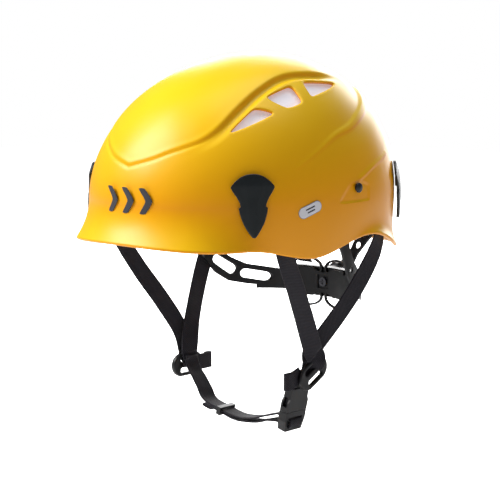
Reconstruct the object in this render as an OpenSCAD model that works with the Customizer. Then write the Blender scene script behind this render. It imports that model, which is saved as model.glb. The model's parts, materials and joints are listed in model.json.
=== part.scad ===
// Climbing helmet. Millimetres, +Z up, brow towards -Y, the wearer's left towards +X.
// The origin is the centre of the head opening, at the mean height of the rim.

/* [Shell] */
// Half of the shell's length at its widest level
shell_half_l = 137; // [134:1:140]
// Half of the shell's width at its widest level
shell_half_w = 112; // [110:1:114]
// Height of the crown above the widest level
dome_h = 115; // [112:1:118]
// Height of the widest level above the head opening
equator_z = 34; // [33:0.5:35]
// Wall of the moulded shell
shell_wall = 3; // [2.6:0.1:3.2]
// How far the brow brim flares out
brim_flare = 17; // [14:1:18]
// How far the lip behind the neck flares out
lip_flare = 8; // [6:1:9]
// Thickness of the foam liner
liner_t = 11; // [10:0.5:12]

/* [Harness] */
// Width of the webbing
web_w = 15; // [14:0.5:16]
// Thickness of the webbing
web_t = 1.4; // [1.2:0.1:1.5]
// Radius of the headband round the back of the head
band_r = 80; // [79:0.5:81]
// Thickness of the plastic headband
band_t = 2.2; // [2:0.1:2.3]
// Radius of the size adjusting knob
knob_r = 16; // [14:0.5:17]
// Length of each strap slider
slider_l = 38; // [36:1:40]

/* [Buckle] */
// Width of the chin buckle
buckle_w = 24; // [23:0.5:25]
// Thickness of the chin buckle
buckle_t = 8; // [7.6:0.1:8.4]

/* [Hidden] */

// How square the plan of the shell is: 2 is an ellipse
squareness = 2.07;
// How far back the crown's top lies
crown_shift = 16;
// How much the side wall draws in towards the rim
tuck = 0.05;
// Rim height at angles round the shell, 0 at the brow and 180 at the neck
RIM = [[0, 5.5], [50, 1], [76, -8.5], [103, 6], [134, -12], [180, -14.5]];
// Vent outlines on the left, as [angle round the shell, way down from the top]
VENTS = [
    [[39.5, 0.69], [50, 0.555], [60.5, 0.585]],
    [[55, 0.497], [71.5, 0.423], [75, 0.53], [66, 0.562]],
    [[80, 0.4], [108, 0.42], [86, 0.485], [81, 0.5]]];
// Centre of the brow band's round front
brow_cy = -15;
// Plug of the visor's mounting hole: radius, and its place on the shell's side
plug_r = 2.9;
plug_y = 11;
plug_z = 44;
// The headband's own axis, through the middle of the back of the head
band_cy = 22;
// Height of the adjuster's pinion
pinion_z = -53;
pinion_teeth = 8;
pinion_pitch_r = 4.3;
// Radius at which the racks run round the head
rack_r = band_r + 4;
rack_pitch = 360 * pinion_pitch_r / pinion_teeth / (rack_r + 0.8);
buckle_tilt = 14;
BUCKLE = [62, -3, -118];
SLIDER_L = [72, 3, -108];
SLIDER_R = [71, 3, -121];
YELLOW = [0.95, 0.72, 0.02];
BLACK = [0.12, 0.12, 0.13];
CLIP = [0.06, 0.09, 0.1];
WEB = [0.22, 0.21, 0.24];
FOAM = [0.9, 0.9, 0.93];
PAD = [0.3, 0.3, 0.32];

function smooth(a, b, x) = let(k = max(0, min(1, (x - a) / (b - a)))) k * k * (3 - 2 * k);
function power(v, e) = sign(v) * pow(abs(v), e);
function folded(phi) = let(p = (phi % 360 + 360) % 360) min(p, 360 - p);
function rim_z(phi, i = 0) = let(p = folded(phi))
    p <= RIM[i + 1][0] || i == len(RIM) - 2
        ? RIM[i][1] + (RIM[i + 1][1] - RIM[i][1]) * smooth(RIM[i][0], RIM[i + 1][0], p)
        : rim_z(phi, i + 1);
function flare(phi, u) = (1.5 + brim_flare * (1 - smooth(28, 68, folded(phi)))) * pow(u, 2)
    + lip_flare * smooth(85, 120, folded(phi)) * pow(u, 5);
// A point of the shell: angle phi round it, t from 0 at the top over 1 at the widest level to 2 at
// the rim, and inset inwards from the outer face
function shell_at(phi, t, inset = 0) = let(
    rise = 90 * (1 - min(t, 1)),
    u = max(t - 1, 0),
    a = shell_half_l - inset,
    b = shell_half_w - inset,
    s = power(sin(phi), 2 / squareness),
    c = power(cos(phi), 2 / squareness),
    k = t <= 1 ? cos(rise) : 1 - tuck * u * u,
    r = norm([b * s, a * c]),
    f = flare(phi, u) / r,
    back = crown_shift * pow(sin(rise), 1.5))
    [b * s * (k + f), back - a * c * (k + f),
     t <= 1 ? equator_z + (dome_h - inset) * sin(rise) : equator_z + (rim_z(phi) - equator_z) * u];

// A closed skin between two insets, from the top down to row t_end
module dome_skin(outer, inner, t_end, around, dome_rows, side_rows) {
    rows = concat([for (i = [1:dome_rows]) min(t_end, 1) * i / dome_rows],
        [for (i = [1:1:side_rows]) 1 + (t_end - 1) * i / side_rows]);
    n = len(rows);
    pts = concat(
        [shell_at(0, 0, outer)],
        [for (t = rows, j = [0:around - 1]) shell_at(360 * j / around, t, outer)],
        [shell_at(0, 0, inner)],
        [for (t = rows, j = [0:around - 1]) shell_at(360 * j / around, t, inner)]);
    half = 1 + n * around;
    function next(j) = (j + 1) % around;
    tops = [for (j = [0:around - 1]) each [[0, 1 + j, 1 + next(j)],
        [half, half + 1 + next(j), half + 1 + j]]];
    walls = [for (i = [0:n - 2], j = [0:around - 1]) let(p = 1 + i * around, k = next(j)) each [
        [p + j, p + around + j, p + around + k], [p + j, p + around + k, p + k],
        [half + p + k, half + p + around + k, half + p + around + j],
        [half + p + k, half + p + around + j, half + p + j]]];
    rim = [for (j = [0:around - 1]) let(p = 1 + (n - 1) * around, k = next(j)) each [
        [p + j, half + p + j, half + p + k], [p + j, half + p + k, p + k]]];
    faces = concat(tops, walls, rim);
    polyhedron(pts, faces, convexity = 6);
}

// A plug through the wall with the outline of vent v
module vent_cutter(v) {
    n = len(v);
    pts = concat([for (q = v) shell_at(q[0], q[1], -6)], [for (q = v) shell_at(q[0], q[1], 24)]);
    faces = concat([for (i = [1:n - 2]) [0, i, i + 1]], [for (i = [1:n - 2]) [n, n + i + 1, n + i]],
        [for (i = [0:n - 1]) let(j = (i + 1) % n) each [[n + i, n + j, j], [n + i, j, i]]]);
    polyhedron(pts, faces);
}
module all_vents() {
    for (side = [0, 1])
        mirror([side, 0, 0])
            for (v = VENTS) vent_cutter(v);
}
module shell() {
    color(YELLOW)
        difference() {
            dome_skin(0, shell_wall, 2, 64, 14, 8);
            all_vents();
            for (side = [-1, 1])
                translate([side * shell_half_w, plug_y, plug_z])
                    rotate([0, 90, 0]) cylinder(h = 24, r = plug_r + 0.05, center = true, $fn = 32);
        }
}
module foam_liner() {
    color(FOAM)
        dome_skin(shell_wall + 3.8, shell_wall + 3.8 + liner_t, 0.97, 48, 10, 0);
}
// A curved plate behind the vents of one side, which turns about the shell's long axis
module vent_shutter(side) {
    n_phi = 10;
    n_t = 6;
    function at(i, j, inset) = shell_at(36 + 78 * i / n_phi,
        0.36 + (0.38 + 0.02 * (n_phi - i) / n_phi) * j / n_t - 0.03 * i / n_phi, inset);
    m = n_t + 1;
    count = (n_phi + 1) * m;
    pts = concat([for (i = [0:n_phi], j = [0:n_t]) at(i, j, shell_wall + 1.3)],
        [for (i = [0:n_phi], j = [0:n_t]) at(i, j, shell_wall + 2.5)]);
    faces = concat(
        [for (i = [0:n_phi - 1], j = [0:n_t - 1]) let(q = i * m + j) [q, q + 1, q + m + 1, q + m]],
        [for (i = [0:n_phi - 1], j = [0:n_t - 1]) let(q = count + i * m + j)
            [q, q + m, q + m + 1, q + 1]],
        [for (i = [0:n_phi - 1]) let(q = i * m) [q, q + m, count + q + m, count + q]],
        [for (i = [0:n_phi - 1]) let(q = i * m + n_t)
            [q + m, q, count + q, count + q + m]],
        [for (j = [0:n_t - 1]) [j + 1, j, count + j, count + j + 1]],
        [for (j = [0:n_t - 1]) let(q = n_phi * m + j) [q, q + 1, count + q + 1, count + q]]);
    color(FOAM)
        mirror([side, 0, 0]) polyhedron(pts, faces);
}

// The row t of the shell at height z, and the frame that stands on its outer face there:
// +X outwards, +Y round the shell, +Z up
function row_of(phi, z) = z >= equator_z
    ? 1 - asin((z - equator_z) / dome_h) / 90
    : 1 + (equator_z - z) / (equator_z - rim_z(phi));
function wall_at(phi, z, inset = 0) = shell_at(phi, row_of(phi, z), inset);
function facing(p) = atan2(p[1] / pow(shell_half_l, 2), p[0] / pow(shell_half_w, 2));
module on_wall(phi, z) {
    p = wall_at(phi, z);
    translate(p) rotate([0, 0, facing(p)]) children();
}
// A slab of the given thickness that lies on a round wall of radius r, cut to a flat outline
module wrapped(r, thick, high) {
    intersection() {
        translate([-r, 0, 0])
            difference() {
                cylinder(h = high, r = r + thick, center = true, $fn = 96);
                cylinder(h = high + 1, r = r, center = true, $fn = 96);
            }
        rotate([90, 0, 90]) linear_extrude(height = 2 * thick + 12, center = true) children();
    }
}

// Headlamp clip: a fan on top, a notched waist, and a pointed tongue that stands off the wall
CLIP_EDGE = [[0, 13.8], [9, 11.6], [17.3, 4], [12.6, -3.2], [9.9, -9.6], [9.7, -10.6],
    [11.3, -12], [9.2, -20.5], [5.4, -28.5], [2, -33.6], [0, -34.4]];
module headlamp_clip(phi, side, tilt) {
    edge = concat(CLIP_EDGE, [for (i = [len(CLIP_EDGE) - 2:-1:1]) [-CLIP_EDGE[i][0], CLIP_EDGE[i][1]]]);
    color(CLIP)
        mirror([side, 0, 0])
            on_wall(phi, 46)
                translate([1, 0, 0])
                    rotate([0, -tilt, 0]) {
                        wrapped(118, 2.6, 120) polygon(edge);
                        translate([-0.1, -6, -8]) cube([1.5, 12, 10]);
                        translate([-0.1, -2, -32]) cube([1.5, 4, 3]);
                    }
}
// Plug in the visor's mounting hole
module visor_plug(side) {
    color(BLACK)
        mirror([side, 0, 0])
            translate([shell_half_w, plug_y, plug_z])
                rotate([0, 90, 0]) {
                    translate([0, 0, 0.1]) cylinder(h = 1.6, r = plug_r + 1, $fn = 32);
                    translate([0, 0, -5.2]) cylinder(h = 5.7, r = plug_r, $fn = 32);
                    translate([0, 0, -6.7]) cylinder(h = 1.5, r = plug_r + 1.6, $fn = 32);
                }
}
module side_label() {
    color("white")
        on_wall(73, 30.5)
            translate([0.25, 0, 0])
                wrapped(118, 0.4, 60)
                    rotate(20) {
                        square([13, 9], center = true);
                        for (x = [-6.5, 6.5]) translate([x, 0]) circle(d = 9, $fn = 32);
                    }
}
// Three plain chevrons on the brow
module front_badge() {
    color(BLACK)
        on_wall(3.5, 38)
            translate([1.4, 0, 0])
                rotate([0, 2, 0])
                    wrapped(95, 0.4, 60)
                        for (x = [-17, 0, 17])
                            translate([x, 0])
                                polygon([[-7, -10], [-1, -10], [6, 0], [-1, 10], [-7, 10], [0, 0]]);
}

// A band round the back of the head between angles a1 and a2, 0 at the left ear and 90 at the nape
module back_band(r, thick, z1, z2, a1, a2) {
    translate([0, band_cy, 0])
        rotate([0, 0, a1])
            rotate_extrude(angle = a2 - a1, $fn = 96)
                translate([r, z1]) square([thick, z2 - z1]);
}
// Front half of the band, at the brow
module brow_ring(r, thick, z1, z2, a1, a2) {
    translate([0, brow_cy, 0])
        rotate([0, 0, a1])
            rotate_extrude(angle = a2 - a1, $fn = 96)
                translate([r, z1]) square([thick, z2 - z1]);
}
module brow_band() {
    color(BLACK)
        difference() {
            union() {
                brow_ring(band_r - 1, band_t, 8, 32, 180, 360);
                for (side = [0, 1])
                    mirror([side, 0, 0])
                        translate([band_r - 1, brow_cy, 8]) cube([band_t, band_cy - brow_cy, 24]);
            }
            for (a = [205:26:335])
                translate([0, brow_cy, 20])
                    rotate([0, 90, a]) cylinder(h = 200, r = 5, $fn = 32);
            rivet_holes(1.6);
        }
}
module rivet_holes(r) {
    for (side = [0, 1], z = [13, 25])
        mirror([side, 0, 0])
            translate([band_r - 5, band_cy - 8, z])
                rotate([0, 90, 0]) cylinder(h = 12, r = r, $fn = 24);
}
module arm_rivets() {
    color(CLIP)
        for (side = [0, 1], z = [13, 25])
            mirror([side, 0, 0])
                translate([band_r - 1.7, band_cy - 8, z])
                    rotate([0, 90, 0]) {
                        cylinder(h = 6.6, r = 1.55, $fn = 24);
                        cylinder(h = 0.65, r = 3, $fn = 24);
                        translate([0, 0, 5.45]) cylinder(h = 1, r = 3, $fn = 24);
                    }
}
// Soft pad behind the brow
module brow_pad() {
    color(PAD) brow_ring(band_r - 6.5, 5.3, 9, 31, 205, 335);
}
// Stiff tongues that carry the brow band from the shell
module brow_band_brackets() {
    color(BLACK) {
        for (side = [0, 1])
            mirror([side, 0, 0]) {
                translate([0, brow_cy, 0])
                    rotate([0, 0, -60]) translate([band_r + 1.3, -8, 18]) cube([31.5, 16, 2.5]);
                translate([band_r + 1.3, -13, 18]) cube([26.2, 16, 2.5]);
            }
    }
}
// The band's own outline seen from the side: angle round the head and height give a point
function on_side(a, z) = [band_cy + (band_r + 1.5) * sin(a), z];
ARM_EDGE = [[-12, 30], [2, 30], [7, 10], [11, -10], [17, -22], [27, -33], [38, -40], [59, -44],
    [59, -61], [38, -58], [27, -55], [17, -46], [9, -32], [3, -12], [-4, 6], [-12, 8]];
module headband_arm(side) {
    color(BLACK)
        mirror([side, 0, 0])
            difference() {
                union() {
                    intersection() {
                        back_band(band_r + 1.5, band_t, -70, 40, 0, 62);
                        rotate([90, 0, 90]) linear_extrude(height = 120)
                            difference() {
                                polygon([for (e = ARM_EDGE) on_side(e[0], e[1])]);
                                arm_windows();
                            }
                    }
                    translate([band_r + 1.5, band_cy - 16, 8]) cube([band_t, 16, 22]);
                }
                rivet_holes(1.6);
            }
}
module arm_windows() {
    translate(on_side(13, -27)) circle(r = 3, $fn = 32);
    hull() {
        translate(on_side(18, -34.5)) circle(r = 4, $fn = 32);
        translate(on_side(28, -44)) circle(r = 4.5, $fn = 32);
    }
    hull() {
        translate(on_side(37, -48.5)) circle(r = 4, $fn = 32);
        translate(on_side(50, -51.5)) circle(r = 4, $fn = 32);
    }
}
// Lattice that hangs the nape cradle from the shell
HANGER_EDGE = [[15, 0], [30, 0], [34, 12], [43, 26], [54, 40], [49, 46], [40, 44], [32, 46],
    [28, 42], [30, 30], [26, 16]];
module rear_hanger(side) {
    color(BLACK)
        mirror([side, 0, 0])
            translate([0, band_cy + band_r + 0.5, -37])
                rotate([-17, 0, 0])
                    rotate([90, 0, 0])
                        translate([0, 0, -band_t])
                            linear_extrude(height = band_t)
                                difference() {
                                    polygon(HANGER_EDGE);
                                    translate([38, 33]) circle(r = 4.2, $fn = 32);
                                    translate([33, 20]) circle(r = 3, $fn = 32);
                                    translate([27, 7]) circle(r = 2.6, $fn = 32);
                                }
}
module hanger_screws() {
    color(CLIP)
        for (side = [0, 1])
            mirror([side, 0, 0])
                translate([0, band_cy + band_r + 0.5, -37])
                    rotate([-17, 0, 0])
                        translate([46, band_t + 0.1, 41])
                            rotate([-90, 0, 0]) cylinder(h = 2, r = 2.5, $fn = 32);
}
// Loop of thin ribs, as seen from the back
module cradle_loop(x, z) {
    translate([x, z])
        difference() {
            scale([15.6, 9.4]) circle(r = 1, $fn = 64);
            scale([13.8, 7.6]) circle(r = 1, $fn = 64);
        }
}
// Middle plate, hollowed along its top and bottom edges
module cradle_plate() {
    difference() {
        translate([-27, 41]) square([54, 25]);
        for (z = [24.5, 82.5]) translate([0, z]) circle(r = 20, $fn = 72);
    }
}
module nape_cradle() {
    color(BLACK)
        difference() {
            intersection() {
                back_band(band_r - 1, band_t, -80, -28, 56, 124);
                translate([0, band_cy + 40, 0])
                    rotate([-90, 0, 0])
                        linear_extrude(height = 60) {
                            cradle_plate();
                            for (x = [-17, 17], z = [41, 66]) cradle_loop(x, z);
                            for (x = [-38, 38]) translate([x - 13, 44]) square([26, 17]);
                        }
            }
            translate([-6, 100, pinion_z - 6]) cube([12, 2, 12]);
            translate([0, 95, pinion_z]) rotate([-90, 0, 0]) cylinder(h = 12, r = 3.1, $fn = 32);
        }
}
// Housing for the racks and the pinion, with the boss that the knob turns on
module adjuster_housing() {
    color(BLACK)
        difference() {
            union() {
                back_band(band_r + 1.3, 7.7, -66, -40, 64, 116);
                translate([0, 106, pinion_z]) rotate([-90, 0, 0]) cylinder(h = 12.6, r = 13, $fn = 64);
            }
            back_band(rack_r - 0.3, 2.2, -63.2, -42.8, 60, 120);
            translate([0, 95, pinion_z]) rotate([-90, 0, 0]) cylinder(h = 30, r = 3.1, $fn = 32);
        }
}
module adjuster_knob() {
    color([0.55, 0.57, 0.6])
        difference() {
            union() {
                translate([0, 119, pinion_z])
                    rotate([-90, 0, 0])
                        rotate_extrude($fn = 72)
                            polygon([[0, 0], [knob_r - 1, 0], [knob_r, 1.5], [knob_r, 11],
                                [knob_r - 3, 15], [6, 15], [5, 13], [0, 13]]);
                translate([0, 102, pinion_z]) rotate([-90, 0, 0]) cylinder(h = 17.5, r = 3, $fn = 32);
                translate([0, band_cy + rack_r, pinion_z])
                    rotate([-90, 0, 0]) pinion();
            }
            for (a = [0:30:330])
                translate([0, 117, pinion_z])
                    rotate([0, a, 0])
                        translate([knob_r + 1.6, 0, 0])
                            rotate([-90, 0, 0]) cylinder(h = 20, r = 3, $fn = 24);
            translate([0, 100, pinion_z]) rotate([-90, 0, 0]) cylinder(h = 8, r = 1.25, $fn = 24);
        }
}
module pinion() {
    cylinder(h = 1.5, r = 3.5, $fn = 32);
    for (a = [0:360 / pinion_teeth:359])
        rotate(a)
            linear_extrude(height = 1.5) polygon([[-0.9, 2], [0.9, 2], [0.5, 5], [-0.5, 5]]);
}
module knob_screw() {
    color([0.7, 0.7, 0.72])
        translate([0, 0, pinion_z])
            rotate([-90, 0, 0])
                difference() {
                    union() {
                        translate([0, 0, 100.3]) cylinder(h = 1.6, r = 4, $fn = 32);
                        translate([0, 0, 101.5]) cylinder(h = 6, r = 1.2, $fn = 24);
                    }
                    translate([-2.5, -0.4, 100]) cube([5, 0.8, 1]);
                    translate([-0.4, -2.5, 100]) cube([0.8, 5, 1]);
                }
}
// Toothed tail of the band; up is 1 where it runs over the pinion and -1 where it runs under it
module band_rack(side, up) {
    color(BLACK)
        mirror([side, 0, 0]) {
            z1 = pinion_z + up * 5.3;
            z2 = pinion_z + up * 9.6;
            back_band(rack_r, 1.5, min(z1, z2), max(z1, z2), 44, 104);
            for (k = [-6:11])
                translate([0, band_cy, 0])
                    rotate([0, 0, 90 - (k + 0.5) * rack_pitch])
                        translate([rack_r + 0.15, -0.5, pinion_z + (up > 0 ? 3.9 : -5.5)])
                            cube([1.2, 1, 1.6]);
        }
}

// Foam pad under the crown
module crown_pad() {
    color(PAD)
        translate([0, 40, equator_z])
            rotate([90, 0, 0])
                rotate([0, 0, 62])
                    rotate_extrude(angle = 56, $fn = 96)
                        translate([dome_h - shell_wall - 3.8 - liner_t - 12, 0]) square([8, 50]);
}

function unit(v) = v / norm(v);
// Flat webbing along a route; face is the way its flat side looks, and
// where foot_face is given, the last three points turn to it
module webbing(route, face, wide, thick, foot_face = undef) {
    n = len(route);
    function along(i) = unit(route[min(i + 1, n - 1)] - route[max(i - 1, 0)]);
    function turned(i) = is_undef(foot_face) ? 0 : max(0, min(1, (i - (n - 5)) / 2));
    function face_at(i) = turned(i) > 0 ? face + (foot_face - face) * turned(i) : face;
    function across(i) = unit(cross(along(i), face_at(i)));
    function out(i) = cross(across(i), along(i));
    pts = [for (i = [0:n - 1], k = [[-1, -1], [1, -1], [1, 1], [-1, 1]])
        route[i] + across(i) * k[0] * wide / 2 + out(i) * k[1] * thick / 2];
    faces = concat([[0, 1, 2, 3]],
        [for (i = [0:n - 2], k = [0:3]) let(q = 4 * i + k, r = 4 * i + (k + 1) % 4)
            each [[q, q + 4, r + 4], [q, r + 4, r]]],
        [[4 * n - 1, 4 * n - 2, 4 * n - 3, 4 * n - 4]]);
    polyhedron(pts, faces);
}
// Routes of the left side's webbing, from the anchor down
FRONT_STRAP = [[93.4, -59, 27], [93.7, -58, 14], [94, -55.3, -4], [89, -37, -34], [82, -18, -62],
    [76.6, -2, -88]];
REAR_STRAP = [[91, 66, 26], [91, 63.5, 12], [93, 60.3, -4], [91, 50, -24], [84.5, 32, -52],
    [72.2, 10, -84]];
FRONT_FACE = [0.93, -0.3, 0.25];
REAR_FACE = [0.93, 0.33, 0.2];
// The end of a strap on the slider at p: out is 1 on its outer face and -1 on its inner face
function strap_foot(p, out) = [[p[0] + 3.3 * out, p[1], p[2] + 15.5],
    [p[0] + 3.3 * out, p[1], p[2] + 8], [p[0] + 3.3 * out, p[1], p[2] - 3]];
module strap_front(side, p) {
    color(WEB)
        mirror([side, 0, 0])
            webbing(concat(FRONT_STRAP, strap_foot(p, 1)), FRONT_FACE, web_w, web_t, [1, 0, 0.1]);
}
module strap_rear(side, p) {
    color(WEB)
        mirror([side, 0, 0])
            webbing(concat(REAR_STRAP, strap_foot(p, -1)), REAR_FACE, web_w, web_t, [1, 0, 0.1]);
}
// Riveted pocket on the shell's inner face that holds the top of a strap
module strap_anchor(side, route, turn) {
    color(BLACK)
        mirror([side, 0, 0])
            translate(route[0])
                rotate([0, 0, turn])
                    difference() {
                        translate([-3.6, -10, -8]) cube([5.8, 20, 15]);
                        translate([-1.7, -8.7, -9]) cube([3.4, 17.4, 12]);
                    }
}
// Oval slider that gathers both straps under the ear
module slider(side, p, turn) {
    color(BLACK)
        mirror([side, 0, 0])
            translate([p[0], p[1], p[2]])
                rotate([turn, 0, 0])
                    rotate([90, 0, 90])
                        linear_extrude(height = 4.4, center = true)
                            difference() {
                                oval(slider_l, 20);
                                for (k = [-1, 1]) translate([0, 4.8 * k]) oval(web_w + 3, 4.4);
                            }
}
module oval(long, high) {
    square([long - high, high], center = true);
    for (k = [-1, 1]) translate([k * (long - high) / 2, 0]) circle(d = high, $fn = 48);
}
// Folded loose end of the webbing beside the slider; ahead is -1 towards the brow
module strap_end(side, p, ahead, long, drop) {
    color(WEB)
        mirror([side, 0, 0])
            translate([p[0] - 0.4, p[1] + ahead * (slider_l / 2 + 0.6 + long / 2), p[2] - drop])
                cube([6, long, web_w - 1], center = true);
}

// The buckle's own frame: -Z along the way it parts, +X off the face, +Y across
module on_buckle() {
    translate(BUCKLE) rotate([0, buckle_tilt, 0]) children();
}
function from_buckle(x, y, z) = BUCKLE + [x * cos(buckle_tilt) + z * sin(buckle_tilt), y,
    z * cos(buckle_tilt) - x * sin(buckle_tilt)];
// Webbing from the left slider to the buckle's bar
module buckle_strap() {
    color(WEB)
        webbing([[66.9, -1, -107], [66.6, -1.4, -111.5], [64.9, -2.2, -115.2], [62.7, -2.9, -117.5],
            from_buckle(0, 0, -2.2), from_buckle(0, 0, -6.4)], [1, 0, 0.25], web_w, web_t);
}
// Half of a buckle's body, given by its front edge from the top down
module buckle_body(edge) {
    rotate([90, 0, 90])
        linear_extrude(height = buckle_t, center = true)
            polygon(concat(edge, [for (i = [len(edge) - 1:-1:0]) [-edge[i][0], edge[i][1]]]));
}
module buckle_socket() {
    color(BLACK)
        on_buckle()
            difference() {
                union() {
                    buckle_body([[9.8, -2], [10.4, -9.5], [10.5, -11], [buckle_w / 2, -13.5],
                        [buckle_w / 2, -22]]);
                    translate([-2.6, -buckle_w / 2 + 2, -2]) cube([5.2, buckle_w - 4, 1.6]);
                }
                translate([-1.7, -8.2, -7.4]) cube([3.4, 16.4, 12]);
                translate([-2.3, -9.3, -23]) cube([4.6, 18.6, 14.5]);
                for (k = [-1, 1])
                    translate([-2.3, k * 11 - 3, -18]) cube([4.6, 6, 8]);
            }
}
// Plug with its ladder bars for the chin strap
module buckle_plug() {
    color(BLACK)
        on_buckle()
            difference() {
                union() {
                    buckle_body([[buckle_w / 2, -22.4], [buckle_w / 2, -30], [9.9, -39]]);
                    translate([-1.9, -2, -23]) cube([3.8, 4, 12]);
                }
                for (z = [-30.6, -36.8])
                    translate([-5, -8.2, z]) cube([10, 16.4, 3.4]);
                for (k = [-1, 1])
                    translate([-2.4, k * 7 - 2.4, -25]) cube([4.8, 4.8, 3]);
            }
}
// Sprung prong; k is -1 at the front and 1 at the rear
module buckle_prong(k) {
    color(BLACK)
        on_buckle()
            translate([0, k * 7, -23.5]) {
                rotate([0, 90, 0]) cylinder(h = 4, r = 1.2, center = true, $fn = 32);
                translate([-2, -1.2, 0]) cube([4, 2.4, 13]);
                translate([-2, k > 0 ? 0 : -2.1, 5.5]) cube([4, 2.1, 7]);
            }
}
CHIN_TOP = [[-65.6, 3, -113], [-65, 3, -119], [-61.3, 2.8, -125], [-56, 2.5, -130.5], [-49, 1.5, -138],
    [-40, 0, -147], [-4, 0, -155.5], [14, 0, -153.6], [24, 0, -150.6], [32.4, -0.5, -147.8]];
module chin_strap() {
    color(WEB) webbing(CHIN_TOP, [0, 0, 1], web_w, web_t);
}
// Return layer under the chin strap, with its folded end
module chin_strap_tail() {
    color(WEB) {
        webbing([[-41, 0, -149.6], [-4.6, 0, -158.2], [15, 0, -156.6], [24, 0, -154.6], [30.6, -0.5, -152.6]],
            [0, 0, 1], web_w, web_t);
        webbing([[-40, 0, -151.9], [-33, 0, -153.5]], [0, 0, 1], web_w, web_t);
    }
}
module chin_strap_loop() {
    color(WEB)
        webbing([[33.6, -0.5, -147.4], [41, -2, -145.2], [46, -3, -144], from_buckle(-5, 0, -28.9),
            from_buckle(4, 0, -28.9), from_buckle(5.2, 0, -29.6), from_buckle(5.6, 0, -32),
            from_buckle(5.2, 0, -34.4), from_buckle(4, 0, -35.1), from_buckle(-5, 0, -35.1),
            [44, -3, -150.2], [33, -0.5, -151.8]], [0, 0, 1], web_w, web_t);
}
// Ring that keeps the return layer on the chin strap
KEEPER = [-22, 0, -152.7];
keeper_tilt = 13.3;
module strap_keeper() {
    color(BLACK)
        translate(KEEPER)
            rotate([0, keeper_tilt, 0])
                difference() {
                    cube([4.4, web_w + 3.4, 7], center = true);
                    cube([6, web_w + 0.8, 4.8], center = true);
                }
}

shell();
foam_liner();
vent_shutter(0);  // vent_shutter_left
vent_shutter(1);  // vent_shutter_right
headlamp_clip(51.5, 0, 4.5);  // headlamp_clip_front_left
headlamp_clip(51.5, 1, 4.5);  // headlamp_clip_front_right
headlamp_clip(132, 0, 1.5);  // headlamp_clip_rear_left
headlamp_clip(132, 1, 1.5);  // headlamp_clip_rear_right
visor_plug(0);  // visor_plug_left
visor_plug(1);  // visor_plug_right
side_label();
front_badge();
brow_band();
brow_pad();
brow_band_brackets();
headband_arm(0);  // headband_arm_left
headband_arm(1);  // headband_arm_right
arm_rivets();
rear_hanger(0);  // rear_hanger_left
rear_hanger(1);  // rear_hanger_right
hanger_screws();
nape_cradle();
adjuster_housing();
adjuster_knob();
knob_screw();
band_rack(0, 1);  // band_rack_left
band_rack(1, -1);  // band_rack_right
crown_pad();
strap_anchor(0, FRONT_STRAP, -16);  // strap_anchor_front_left
strap_anchor(1, FRONT_STRAP, -16);  // strap_anchor_front_right
strap_anchor(0, REAR_STRAP, 18);  // strap_anchor_rear_left
strap_anchor(1, REAR_STRAP, 18);  // strap_anchor_rear_right
strap_front(0, SLIDER_L);  // strap_front_left
strap_front(1, SLIDER_R);  // strap_front_right
strap_rear(0, SLIDER_L);  // strap_rear_left
strap_rear(1, SLIDER_R);  // strap_rear_right
slider(0, SLIDER_L, 28);  // slider_left
slider(1, SLIDER_R, 0);  // slider_right
strap_end(0, SLIDER_L, -1, 15, 3);  // strap_end_left
strap_end(1, SLIDER_R, 1, 11, 0);  // strap_end_right
buckle_strap();
buckle_socket();
buckle_plug();
buckle_prong(-1);  // buckle_prong_front
buckle_prong(1);  // buckle_prong_rear
chin_strap();
chin_strap_tail();
chin_strap_loop();
strap_keeper();
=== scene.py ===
"""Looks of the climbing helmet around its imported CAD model. Lengths are in millimetres until a
mesh is made, in the row's own frame: +Z up, brow towards -Y, the wearer's left towards +X."""
import json
import math

import bmesh
import bpy
import numpy as np
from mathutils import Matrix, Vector


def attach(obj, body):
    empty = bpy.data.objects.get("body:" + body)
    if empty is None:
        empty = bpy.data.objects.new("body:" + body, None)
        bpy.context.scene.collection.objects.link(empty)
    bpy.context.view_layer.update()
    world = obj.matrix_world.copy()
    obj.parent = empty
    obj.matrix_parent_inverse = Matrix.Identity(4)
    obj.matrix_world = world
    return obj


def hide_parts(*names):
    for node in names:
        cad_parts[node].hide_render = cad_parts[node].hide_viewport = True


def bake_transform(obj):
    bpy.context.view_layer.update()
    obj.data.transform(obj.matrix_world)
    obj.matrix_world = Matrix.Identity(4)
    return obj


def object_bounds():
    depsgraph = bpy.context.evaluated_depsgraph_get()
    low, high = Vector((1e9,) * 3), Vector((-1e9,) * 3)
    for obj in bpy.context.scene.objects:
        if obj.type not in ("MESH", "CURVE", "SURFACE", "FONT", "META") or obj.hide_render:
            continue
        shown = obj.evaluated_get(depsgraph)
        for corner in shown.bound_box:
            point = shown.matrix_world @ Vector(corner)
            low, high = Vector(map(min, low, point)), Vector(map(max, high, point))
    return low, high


MM = 0.001
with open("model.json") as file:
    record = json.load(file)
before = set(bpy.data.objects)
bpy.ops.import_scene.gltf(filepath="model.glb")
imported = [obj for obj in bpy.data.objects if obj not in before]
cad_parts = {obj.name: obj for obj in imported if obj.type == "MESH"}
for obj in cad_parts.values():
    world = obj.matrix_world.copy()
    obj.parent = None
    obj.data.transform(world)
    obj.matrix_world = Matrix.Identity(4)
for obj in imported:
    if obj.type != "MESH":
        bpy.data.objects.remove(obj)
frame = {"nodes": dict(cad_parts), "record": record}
cad_low, cad_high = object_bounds()
scene = bpy.context.scene

# ---------------------------------------------------------------- the shell's own surface
HALF_L, HALF_W, DOME_H, EQUATOR = 137.0, 112.0, 115.0, 34.0
WALL = 3.0
SQUARENESS, CROWN_SHIFT, TUCK = 2.07, 16.0, 0.05
BRIM_FLARE, LIP_FLARE = 17.0, 8.0
RIM = [(0, 5.5), (50, 1), (76, -8.5), (103, 6), (134, -12), (180, -14.5)]
LINER_T = 11.0
BAND_R, BAND_T, BAND_CY, BROW_CY = 80.0, 2.2, 22.0, -15.0


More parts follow.
